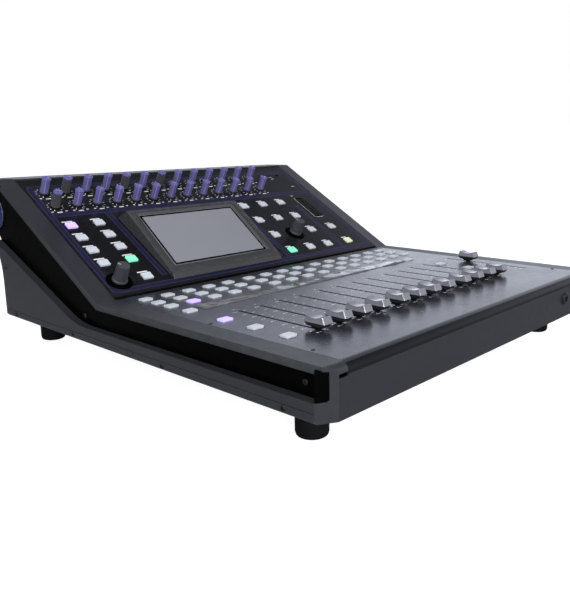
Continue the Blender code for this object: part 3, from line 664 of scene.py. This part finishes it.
strip_film = finish_named("strip_film", (0.20, 0.20, 0.22), 0.07, specular=1.0, grain=(300, 0.1), patch=0.3)
strip = block((-0.175, -0.0965, -0.0001), (0.140, -0.0830, 0.00035))
pick(strip, "EDGE", lambda a, b: abs(a.x - b.x) > 0.1)
bpy.ops.mesh.subdivide(number_cuts=90)
done()
pick(strip, "EDGE", lambda a, b: abs(a.y - b.y) > 0.01)
bpy.ops.mesh.subdivide(number_cuts=3)
done()
waves = bpy.data.textures.new("film_waves", "CLOUDS")
waves.noise_scale = 0.024
top_group = strip.vertex_groups.new(name="top")
top_group.add([corner.index for corner in strip.data.vertices if corner.co.z > 0.0002], 1.0, "REPLACE")
ripple = strip.modifiers.new("ripple", "DISPLACE")
ripple.texture = waves
ripple.strength = 0.0034
ripple.mid_level = 0.35
ripple.direction = "Z"
ripple.vertex_group = "top"
apply_modifiers(strip)
strip.data.transform(on_deck)
dress(soften(strip, 0), strip_film, "chassis", name="writing_strip")

# ---------------------------------------------------------------------------------------------
# Bridge panel. Black-coated steel plate, pierced for the controls, the keys and the display,
# with violet printed borders and white dial marks. A level meter window sits at its right.
# ---------------------------------------------------------------------------------------------

bridge = refined("bridge_panel", 0.00018, 2, 40)
bridge_paint = finish_named("bridge_paint", (0.006, 0.006, 0.008), 0.28, specular=0.45, grain=(2000, 0.25),
                            wear_and_highlight=0.2)
dress(bridge, bridge_paint, "chassis", ["bridge_panel"], "bridge_plate")

violet_ink = finish_named("violet_ink", (0.040, 0.039, 0.13), 0.45, grain=(2200, 0.2))
navy_ink = finish_named("navy_ink", (0.008, 0.008, 0.032), 0.42, grain=(2200, 0.2))


def loop_line(low, high, corner, width):
    """A printed line round a rectangle with rounded corners."""
    deselect()
    bpy.ops.mesh.primitive_plane_add(size=1)
    line = bpy.context.object
    wide, tall = high[0] - low[0], high[1] - low[1]
    line.data.transform(Matrix.Diagonal((wide, tall, 1, 1)))
    pick(line, "VERT", lambda spot: True)
    bpy.ops.mesh.bevel(offset=corner, segments=8, affect="VERTICES")
    bpy.ops.mesh.select_all(action="SELECT")
    bpy.ops.mesh.inset(thickness=width, depth=0)
    bpy.ops.mesh.delete(type="FACE")
    bpy.ops.mesh.select_all(action="SELECT")
    bpy.ops.mesh.extrude_region_move(TRANSFORM_OT_translate={"value": (0, 0, 0.00006)})
    bpy.ops.mesh.select_all(action="SELECT")
    bpy.ops.mesh.normals_make_consistent(inside=False)
    done()
    line.data.transform(shift((low[0] + high[0]) / 2, (low[1] + high[1]) / 2, -0.00003))
    return line


for finish, name, width, insets in ((navy_ink, "navy_border", 0.0062, (0.0,)),
                                    (violet_ink, "violet_border", 0.0007, (0.0, 0.0056))):
    lines = []
    for inset in insets:
        low, high = (-0.2052 + inset, 0.0078 + inset), (0.2062 - inset, 0.2060 - inset)
        lines.append(loop_line(low, high, 0.008, width))
    for shy in (0.0,) if len(insets) == 1 else (-0.0030, 0.0030):
        lines.append(rule(0, 0.147 + shy, 0.399, width))
        for x, low, high in ((-0.1355, 0.022, 0.146), (0.0476, 0.015, 0.147), (0.152, 0.005, 0.118)):
            lines.append(rule(x + shy, (low + high) / 2, width, high - low))
    lines = joined(lines, name)
    lines.data.transform(on_bridge @ Matrix.Diagonal((1, 1, 1.0 if len(insets) == 1 else 1.7, 1)))
    dress(lines, finish, "chassis")

knob_names = [f"{row}_knob_{column + 1:02d}" for row in ("upper", "lower") for column in range(13)]
encoder_names = ["left_encoder", "right_encoder"]
control_at = {}
for name in knob_names + encoder_names:
    control_at[name] = off_bridge @ Vector(joint_of[name + "_body"]["pos_m"])

marks = []
for step in range(11):
    swing = radians(-150 + 30 * step)
    reach = 0.0084
    long = 0.0026 if step in (0, 5, 10) else 0.0018
    marks.append(rule(reach * sin(swing), reach * cos(swing), 0.0006, long, -swing))
marks.append(rule(0.0, -0.0116, 0.0060, 0.0015))
marks.append(rule(-0.0080, -0.0102, 0.0026, 0.0012))
marks.append(rule(0.0082, -0.0102, 0.0030, 0.0012))
dial = joined(marks, "dial_pattern")
places = [on_bridge @ shift(control_at[name].x, control_at[name].y) for name in knob_names]
dress(repeated(dial, places, "knob_dial_marks"), white_ink, "chassis")

bridge_left_x = (-0.1894, -0.1562)
bridge_right_x = (0.0613, 0.0955, 0.1299)
bridge_keys = [(x, 0.0565 + row * 0.0231) for x in bridge_left_x for row in range(4)]
bridge_keys.append((-0.1562, 0.0256))
bridge_keys += [
    (x, 0.0256 + row * 0.0339) for x in bridge_right_x for row in range(4) if (x, row) != (0.0955, 1)
]
bridge_keys += [(0.1708, 0.0250), (0.1708, 0.0597)]
legends = []
for x, v in bridge_keys:
    wide = 0.0095 if x > 0 else 0.0120
    legends.append(rule(x - 0.0012, v + 0.0078, wide, 0.0017))
for x, v in ((0.1650, 0.1870), (0.1650, 0.1915), (0.1885, 0.1640), (0.1640, 0.1400)):
    legends.append(rule(x, v, 0.0060, 0.0008))
legends = joined(legends, "bridge_legends")
legends.data.transform(on_bridge)
dress(legends, white_ink, "chassis")


def upright(a, b):
    return abs(a.x - b.x) < 1e-6 and abs(a.y - b.y) < 1e-6


window = block((0.1630, 0.0850, -0.0002), (0.1785, 0.1330, 0.0006))
round_edges(window, upright, 0.0012, 4)
window.data.transform(on_bridge)
dress(soften(window, 0.00015), inlay_gloss, "chassis", name="meter_window")
outline = loop_line((0.1624, 0.0844), (0.1791, 0.1336), 0.0014, 0.0006)
outline.data.transform(on_bridge)
dress(outline, white_ink, "chassis", name="meter_outline")
lamp_off = finish_named("meter_lamp_off", (0.05, 0.055, 0.05), 0.25, grain=(900, 0.1))
lamps = []
for x in (0.1672, 0.1742):
    for step in range(12):
        foot_v = 0.0880 + step * 0.0036
        lamps.append(block((x - 0.0014, foot_v, 0.0004), (x + 0.0014, foot_v + 0.0018, 0.00075)))
lamps = joined(lamps, "meter_lamps")
lamps.data.transform(on_bridge)
dress(soften(lamps, 0.0001, 1), lamp_off, "chassis")

lamp_hole = drum(0.0021, -0.0002, 0.0005, 32)
carved(lamp_hole, drum(0.0012, 0.0001, 0.001, 24))
lamp_hole.data.transform(on_bridge @ shift(0.1818, 0.1952))
dress(soften(lamp_hole, 0.0001), inlay_gloss, "chassis", name="phantom_lamp")

# ---------------------------------------------------------------------------------------------
# Touch screen. A moulded wedge bezel stands on the bridge and holds the display, switched off,
# behind an anti-glare face with a black masked border.
# ---------------------------------------------------------------------------------------------

bezel_plastic = finish_named("bezel_plastic", (0.048, 0.048, 0.052), 0.27, specular=0.6, grain=(1300, 0.5),
                             wear_and_highlight=0.3)
# The chamfer round the display opening gets a lighter, glossier copy of the bezel plastic: the extra
# lightness is painted highlight, the lower roughness is the plastic's own.
chamfer_gloss = finish_named("chamfer_gloss", (0.085, 0.085, 0.092), 0.16, specular=1.0, grain=(1300, 0.1))
bezel_slope = atan2(0.0179 - 0.0049, 0.1183 - 0.0164)
on_screen = on_bridge @ shift(-0.0500, 0.0164, 0.0049) @ Matrix.Rotation(bezel_slope, 4, "X")
bezel = refined("screen_bezel", 0.0010, 3, 25)
flare = block((-0.0675, 0.0138, -0.0016), (0.0675, 0.0941, 0.0004))
pick(flare, "VERT", lambda spot: spot.z > 0)
bpy.ops.transform.resize(value=(1.060, 1.100, 1.0), center_override=(0, 0.05395, 0))
done()
flare.data.transform(on_screen)
soften(carved(bezel, flare), 0.00025, 2, 15)
dress(bezel, bezel_plastic, "chassis", ["screen_bezel"], "screen_bezel_moulding")
# Faces of the chamfer get the lighter copy, as painted highlight.
bezel.data.materials.append(chamfer_gloss)
for face in bezel.data.polygons:
    spot = on_screen.inverted() @ face.center
    if abs(spot.x) < 0.0714 and abs(spot.y - 0.05395) < 0.0438 and -0.0016 < spot.z < -0.00012:
        face.material_index = 1

screen_face = finish_named("screen_face", (0.27, 0.275, 0.315), 0.22, specular=0.5, grain=(700, 0.05),
                           patch=0.04)
dress(frame["nodes"]["touch_display"], screen_face)
mask = loop_line((-0.0675, 0.0138), (0.0675, 0.0941), 0.0004, 0.0022)
mask.data.transform(on_screen @ shift(0, 0, -0.00175))
dress(mask, inlay_gloss, "chassis", name="screen_mask")

# ---------------------------------------------------------------------------------------------
# Push keys. Pale silicone keys stand 1.5 mm through the panels on one elastic mat per panel. A few
# are lit from below, in violet and in green.
# ---------------------------------------------------------------------------------------------

key_silicone = finish_named("key_silicone", (0.68, 0.72, 0.80), 0.42, specular=0.5, grain=(1200, 0.2),
                            patch=0.04)


def lit_silicone(name, colour, power):
    made = finish_named(name, colour, 0.45, grain=(1200, 0.2), patch=0.04)
    shader = made.node_tree.nodes["Principled BSDF"]
    shader.inputs["Emission Color"].default_value = (*colour, 1)
    shader.inputs["Emission Strength"].default_value = power
    return made


violet_lit = lit_silicone("key_lit_violet", (0.50, 0.40, 1.0), 0.80)
green_lit = lit_silicone("key_lit_green", (0.22, 0.80, 0.50), 0.55)
lime_lit = lit_silicone("key_lit_lime", (0.70, 0.78, 0.55), 0.30)


def key_pattern(corner):
    top = 0.0015
    key = block((-0.00585, -0.0048, -0.0034), (0.00585, 0.0048, top))
    round_edges(key, upright, corner, 4)
    round_edges(key, lambda a, b: min(a.z, b.z) > top - 1e-5, 0.00035, 2)
    return soften(key, 0)


deck_keys = [(x, y) for x in key_columns for y in key_rows]
deck_keys += [(-0.1894, y) for y in side_rows] + [(0.1500, y) for y in side_rows[:3]]
lit_keys = {
    "deck": {(key_columns[1], key_rows[2]): violet_lit, (-0.1894, side_rows[1]): violet_lit},
    "bridge": {
        bridge_keys[3]: violet_lit, bridge_keys[4]: green_lit,
        (0.0613, 0.0256): green_lit, (0.1708, 0.0250): lime_lit,
    },
}
panels = (("deck", on_deck, deck_keys, 0.0017), ("bridge", on_bridge, bridge_keys, 0.0012))
for panel, plane, keys, corner in panels:
    body = panel + "_keymat_body"
    lit = lit_keys[panel]
    plain = [plane @ shift(*key) for key in keys if key not in lit]
    pad = repeated(key_pattern(corner), plain, panel + "_plain_keys")
    dress(pad, key_silicone, body, [panel + "_keymat"], panel + "_keys")
    for index, (key, finish) in enumerate(lit.items()):
        piece = key_pattern(corner)
        piece.data.transform(plane @ shift(*key))
        dress(piece, finish, body, name=f"{panel}_lit_key_{index + 1}")

# ---------------------------------------------------------------------------------------------
# Faders. Smoke-grey saddle caps with flat cut corners over a tapered skirt of the same plastic painted
# near black as painted shade under the cap, each on a black steel tab that runs in its slot.
# ---------------------------------------------------------------------------------------------

smoke_plastic = finish_named("smoke_plastic", (0.19, 0.195, 0.23), 0.22, specular=0.8, grain=(1500, 0.2),
                             wear_and_highlight=0.2, coat=0.5)
tab_steel = finish_named("tab_steel", (0.015, 0.015, 0.017), 0.40, 0.6, grain=(900, 0.3))
# The skirt is the tapered lower part of the smoke-grey cap; its near-black colour is painted shade for the
# undercut beneath the cap.
skirt_plastic = finish_named("skirt_plastic", (0.020, 0.021, 0.026), 0.35, grain=(1500, 0.2))

belly, crown, dip = 0.0062, 0.0122, 0.0020
half_long, half_wide, top_half = 0.0115, 0.0055, 0.0092
cap = block((-half_wide, -half_long, belly), (half_wide, half_long, crown))
pick(cap, "VERT", lambda corner: corner.z > belly + 0.001)
bpy.ops.transform.resize(value=(0.95, top_half / half_long, 1.0), center_override=(0, 0, crown))
done()
round_edges(cap, lambda a, b: abs(a.z - b.z) > 0.001, 0.00055, 1)
bend = (top_half**2 + dip**2) / (2 * dip)
hollow = drum(bend, -0.02, 0.02, 160)
hollow.data.transform(shift(0, 0, crown - dip + bend) @ Matrix.Rotation(pi / 2, 4, "Y"))
carved(cap, hollow)
soften(cap, 0.00022, 2, 20)
skirt = block((-half_wide, -half_long, 0.0030), (half_wide, half_long, belly + 0.0001))
pick(skirt, "VERT", lambda corner: corner.z < 0.0031)
bpy.ops.transform.resize(value=(0.80, 0.80, 1.0), center_override=(0, 0, 0.003))
done()
round_edges(skirt, lambda a, b: abs(a.z - b.z) > 0.001, 0.00055, 1)
pick(skirt, "VERT", lambda corner: True)
bpy.ops.transform.resize(value=(0.985, 0.99, 1.0), center_override=(0, 0, 0.003))
done()
soften(skirt, 0.00015, 1)
tab = block((-0.0006, -0.0025, -0.0080), (0.0006, 0.0025, 0.0050))
shoe = block((-0.0022, -0.0040, 0.0008), (0.0022, 0.0040, 0.0034))
pick(shoe, "VERT", lambda corner: corner.z > 0.003)
bpy.ops.transform.resize(value=(1.5, 1.8, 1.0), center_override=(0, 0, 0.003))
done()
tab = soften(joined([tab, shoe], "tab"), 0.0001, 1)
for name in fader_names:
    place = on_deck @ shift(fader_at[name].x, fader_at[name].y)
    parts = ((cap, smoke_plastic, "cap"), (skirt, skirt_plastic, "skirt"), (tab, tab_steel, "tab"))
    for pattern, finish, part in parts:
        piece = twin(pattern, place)
        node = [name] if part == "cap" else []
        dress(piece, finish, name + "_body", node, f"{name}_{part}")
for pattern in (cap, skirt, tab):
    bpy.data.objects.remove(pattern, do_unlink=True)

# ---------------------------------------------------------------------------------------------
# Rotary knobs. A slim dark grey body carries a violet tongue and crown, with a pale pointer line.
# Most are turned fully down, so the tongue faces the operator's left.
# ---------------------------------------------------------------------------------------------

knob_grey = finish_named("knob_grey", (0.075, 0.075, 0.082), 0.42, grain=(1500, 0.4), wear_and_highlight=0.2)
# The pale rim of each knob crown comes from the edge paling of finish_named: painted highlight along the rim
# as well as rubbed edges.
knob_violet = finish_named("knob_violet", (0.135, 0.125, 0.36), 0.34, specular=0.55, grain=(1500, 0.3),
                           wear_and_highlight=0.4)
pointer_pale = finish_named("pointer_pale", (0.42, 0.40, 0.66), 0.4, grain=(900, 0.1))


def ring_of(z):
    return lambda a, b: abs(a.z - z) < 1e-5 and abs(b.z - z) < 1e-5


def every_other(sides):
    """Picks every second side face of a drum, for fluting."""
    return lambda spot, way: abs(way.z) < 0.3 and round(atan2(spot.y, spot.x) / (2 * pi / sides) - 0.5) % 2


knob_low, knob_top = 0.0012, 0.0199
body = drum(0.0047, knob_low, 0.0184, 32)
pick(body, "FACE", every_other(32))
bpy.ops.mesh.inset(thickness=0.00018, depth=-0.00018, use_individual=True)
done()
skirt = drum(0.0050, knob_low, 0.0024, 32)
round_edges(skirt, ring_of(0.0024), 0.0005, 2)
shaft = drum(0.0029, -0.0048, knob_low + 0.0006, 24)
knob_body = soften(joined([body, skirt, shaft], "knob_body"), 0)

tongue = drum(0.00492, 0.0026, 0.0186, 48)
spread = radians(58)
for way in (-1, 1):
    pick(tongue, "VERT", lambda spot: True)
    keep = (way * cos(spread), sin(spread), 0)
    bpy.ops.mesh.bisect(plane_co=(0, 0, 0), plane_no=keep, use_fill=True, clear_inner=True)
    done()
crown = drum(0.0049, 0.0180, knob_top, 48)
round_edges(crown, ring_of(knob_top), 0.0005, 3)
pick(crown, "FACE", lambda spot, way: way.z > 0.9 and spot.z > knob_top - 1e-5)
bpy.ops.mesh.inset(thickness=0.0008, depth=0.0)
bpy.ops.mesh.inset(thickness=0.0008, depth=-0.0009)
bpy.ops.mesh.inset(thickness=0.0012, depth=-0.0004)
done()
knob_colour = soften(joined([tongue, crown], "knob_colour"), 0)
line = block((-0.00028, 0.0046, 0.0034), (0.00028, 0.0051, 0.0186))
top_line = block((-0.00028, 0.0022, 0.0184), (0.00028, 0.0048, 0.01995))
knob_line = soften(joined([line, top_line], "knob_line"), 0.0001, 1)
for name in knob_names:
    high_turn = joint_of[name + "_body"]["range_deg"][1]
    rest = 150 - high_turn
    place = on_bridge @ shift(control_at[name].x, control_at[name].y) @ Matrix.Rotation(radians(rest), 4, "Z")
    parts = ((knob_body, knob_grey, "body"), (knob_colour, knob_violet, "crown"),
             (knob_line, pointer_pale, "pointer"))
    for pattern, finish, part in parts:
        node = [name] if part == "body" else []
        dress(twin(pattern, place), finish, name + "_body", node, f"{name}_{part}")
for pattern in (knob_body, knob_colour, knob_line):
    bpy.data.objects.remove(pattern, do_unlink=True)

# ---------------------------------------------------------------------------------------------
# Encoders. Two larger soft-black knobs with fluted sides, each in a dished black ring.
# ---------------------------------------------------------------------------------------------

encoder_rubber = finish_named("encoder_rubber", (0.060, 0.064, 0.074), 0.42, grain=(1300, 0.5), wear_and_highlight=0.3)
encoder_body = drum(0.0074, knob_low, 0.0200, 48)
pick(encoder_body, "VERT", lambda spot: spot.z > 0.019)
bpy.ops.transform.resize(value=(0.86, 0.86, 1.0), center_override=(0, 0, 0.02))
done()
pick(encoder_body, "FACE", every_other(48))
bpy.ops.mesh.inset(thickness=0.00015, depth=-0.00030, use_individual=True)
done()
pick(encoder_body, "FACE", lambda spot, way: way.z > 0.9 and spot.z > 0.0199)
bpy.ops.mesh.inset(thickness=0.0008, depth=0.0)
bpy.ops.mesh.inset(thickness=0.0010, depth=-0.0006)
done()
skirt = drum(0.0080, knob_low, 0.0036, 48)
round_edges(skirt, ring_of(0.0036), 0.0008, 3)
shaft = drum(0.0029, -0.0048, knob_low + 0.0006, 24)
encoder_body = soften(joined([encoder_body, skirt, shaft], "encoder"), 0)
encoder_line = block((-0.0004, 0.0028, 0.0188), (0.0004, 0.0062, 0.02003))
for name in encoder_names:
    place = on_bridge @ shift(control_at[name].x, control_at[name].y) @ Matrix.Rotation(radians(40), 4, "Z")
    dress(twin(encoder_body, place), encoder_rubber, name + "_body", [name], name + "_knob")
    dress(twin(encoder_line, place), pointer_pale, name + "_body", name=name + "_pointer")
    dish = drum(0.0122, -0.0001, 0.0006, 64)
    round_edges(dish, ring_of(0.0006), 0.0003, 2)
    pick(dish, "FACE", lambda spot, way: way.z > 0.9 and spot.z > 0.0005)
    bpy.ops.mesh.inset(thickness=0.0006, depth=0.0)
    bpy.ops.mesh.inset(thickness=0.0022, depth=-0.0004)
    done()
    dish.data.transform(on_bridge @ shift(control_at[name].x, control_at[name].y))
    dress(soften(dish, 0), inlay_gloss, "chassis", name=name + "_ring")
for pattern in (encoder_body, encoder_line):
    bpy.data.objects.remove(pattern, do_unlink=True)

# ---------------------------------------------------------------------------------------------
# Rear sheet. Black-coated steel under the hood, with shallow cooling louvres and white numbers.
# Pieces of the rear are modelled facing up, then stood on the sheet with their tops upward.
# ---------------------------------------------------------------------------------------------

rear = refined("rear_panel", 0.0003, 2, 40)
rear_y = deck_high.y + 0.0006 + 0.1855


def on_rear(x, z):
    return shift(x, rear_y, z) @ Matrix.Rotation(pi, 4, "Z") @ Matrix.Rotation(pi / 2, 4, "X")


louvres = []
for step in range(12):
    louvre = block((-0.0013, -0.0130, -0.0006), (0.0013, 0.0130, 0.002))
    round_edges(louvre, upright, 0.0012, 3)
    louvre.data.transform(on_rear(-0.2005 + step * 0.0076, 0.1060))
    louvres.append(louvre)
carved(rear, joined(louvres, "louvres"))
soften(rear, 0)
dress(rear, black_coat, "chassis", ["rear_panel"], "rear_sheet")

socket_x = [0.158 - column * 0.034 for column in range(8)]
output_z, lower_z, upper_z = 0.062, 0.089, 0.116
marks = []
for column, x in enumerate(socket_x):
    for row, z in enumerate((upper_z, lower_z)):
        mark = numeral(str(column + 1 + row * 8), 0.0, 0.0, 0.0036, "CENTER")
        mark.data.transform(on_rear(x - 0.0165, z + 0.0085))
        marks.append(mark)
    mark = rule(0, 0, 0.0110, 0.0007)
    mark.data.transform(on_rear(x, output_z - 0.0150))
    marks.append(mark)
dress(joined(marks, "rear_numbers"), white_ink, "chassis")

# ---------------------------------------------------------------------------------------------
# Rear connectors. Sixteen round inputs with three holes and a latch, and eight outputs whose
# three pins stand in a recess. Each has two small flange screws.
# ---------------------------------------------------------------------------------------------

socket_black = finish_named("socket_black", (0.010, 0.010, 0.011), 0.38, specular=0.5, grain=(1300, 0.4),
                            wear_and_highlight=0.15)
pin_nickel = finish_named("pin_nickel", (0.62, 0.60, 0.54), 0.24, metallic=1.0, grain=(1800, 0.15))
dress(frame["nodes"]["connector_board"], socket_black)
pin_places = [(0.0040 * cos(radians(turn)), 0.0040 * sin(radians(turn))) for turn in (200, 340, 90)]

face = drum(0.0118, -0.0006, 0.0014, 64)
round_edges(face, ring_of(0.0014), 0.0004, 2)
groove = carved(drum(0.0090, 0.0006, 0.003, 64), drum(0.0082, 0.0, 0.004, 64))
holes = [drum(0.0013, 0.0002, 0.003, 20, centre=place) for place in pin_places]
keyway = block((-0.0010, 0.0066, 0.0006), (0.0010, 0.0086, 0.003))
carved(face, groove, keyway, *holes)
latch = block((-0.0030, 0.0084, 0.0002), (0.0030, 0.0116, 0.0026))
round_edges(latch, upright, 0.0006, 3)
socket = soften(joined([soften(face, 0), soften(latch, 0.0003, 2)], "input"), 0)
places = [on_rear(x, z) for x in socket_x for z in (lower_z, upper_z)]
dress(repeated(socket, places, "input_sockets"), socket_black, "chassis")

rim = carved(drum(0.0126, -0.0004, 0.0012, 64), drum(0.0096, -0.002, 0.004, 64))
rim = soften(rim, 0.0003, 2)
places = [on_rear(x, output_z) for x in socket_x]
dress(repeated(rim, places, "output_rims"), socket_black, "chassis")
pins = []
for centre in pin_places:
    pin = drum(0.0011, -0.0032, -0.0002, 20, centre=(centre[0], -centre[1]))
    round_edges(pin, ring_of(-0.0002), 0.0006, 3)
    pins.append(pin)
pins = soften(joined(pins, "pins"), 0)
dress(repeated(pins, places, "output_pins"), pin_nickel, "chassis")

places = []
for x in socket_x:
    for z in (output_z, lower_z, upper_z):
        places += [on_rear(x + side * 0.0125, z - side * 0.0092) for side in (-1, 1)]
dress(repeated(screw_head(0.0017, 0.0007), places, "socket_screws"), screw_plate, "chassis")

# ---------------------------------------------------------------------------------------------
# Mains inlet and switch. A rimmed inlet with three blades, and a rocker marked with a bar and a ring.
# ---------------------------------------------------------------------------------------------

inlet_x, inlet_z = -0.1750, 0.0540
rim = block((-0.0155, -0.0120, -0.0002), (0.0155, 0.0120, 0.0014))
round_edges(rim, upright, 0.0015, 4)
mouth = block((-0.0121, -0.0081, -0.002), (0.0121, 0.0081, 0.004))
round_edges(mouth, lambda a, b: upright(a, b) and a.y > 0, 0.0040, 1)
rim = soften(carved(rim, mouth), 0.0003, 2)
rim.data.transform(on_rear(inlet_x, inlet_z))
dress(rim, socket_black, "chassis", name="inlet_rim")
blades = []
for x, y in ((-0.0070, -0.0020), (0.0070, -0.0020), (0.0, 0.0020)):
    blade = block((x - 0.0010, y - 0.0020, -0.0140), (x + 0.0010, y + 0.0020, -0.0040))
    blades.append(blade)
blades = soften(joined(blades, "inlet_blades"), 0.0004, 2)
blades.data.transform(on_rear(inlet_x, inlet_z))
dress(blades, pin_nickel, "chassis")

rocker = refined("power_rocker", 0.0005, 3, 25)
dress(rocker, socket_black, "rocker_body", ["power_rocker"], "mains_rocker")
lobes = [face for face in rocker.data.polygons if face.normal.y > 0.8]
lobes = sorted(lobes, key=lambda face: -face.area)[:2]
ring_half = 0.0019
off_ring = loop_line((-ring_half, -ring_half), (ring_half, ring_half), 0.0018, 0.0005)
on_bar = rule(0, 0, 0.0007, 0.0042)
for index, (lobe, mark) in enumerate(zip(lobes, (off_ring, on_bar))):
    stand = lobe.normal.to_track_quat("Z", "Y").to_matrix().to_4x4()
    mark.data.transform(Matrix.Translation(lobe.center) @ stand)
    dress(mark, white_ink, "rocker_body", name=f"rocker_mark_{index + 1}")
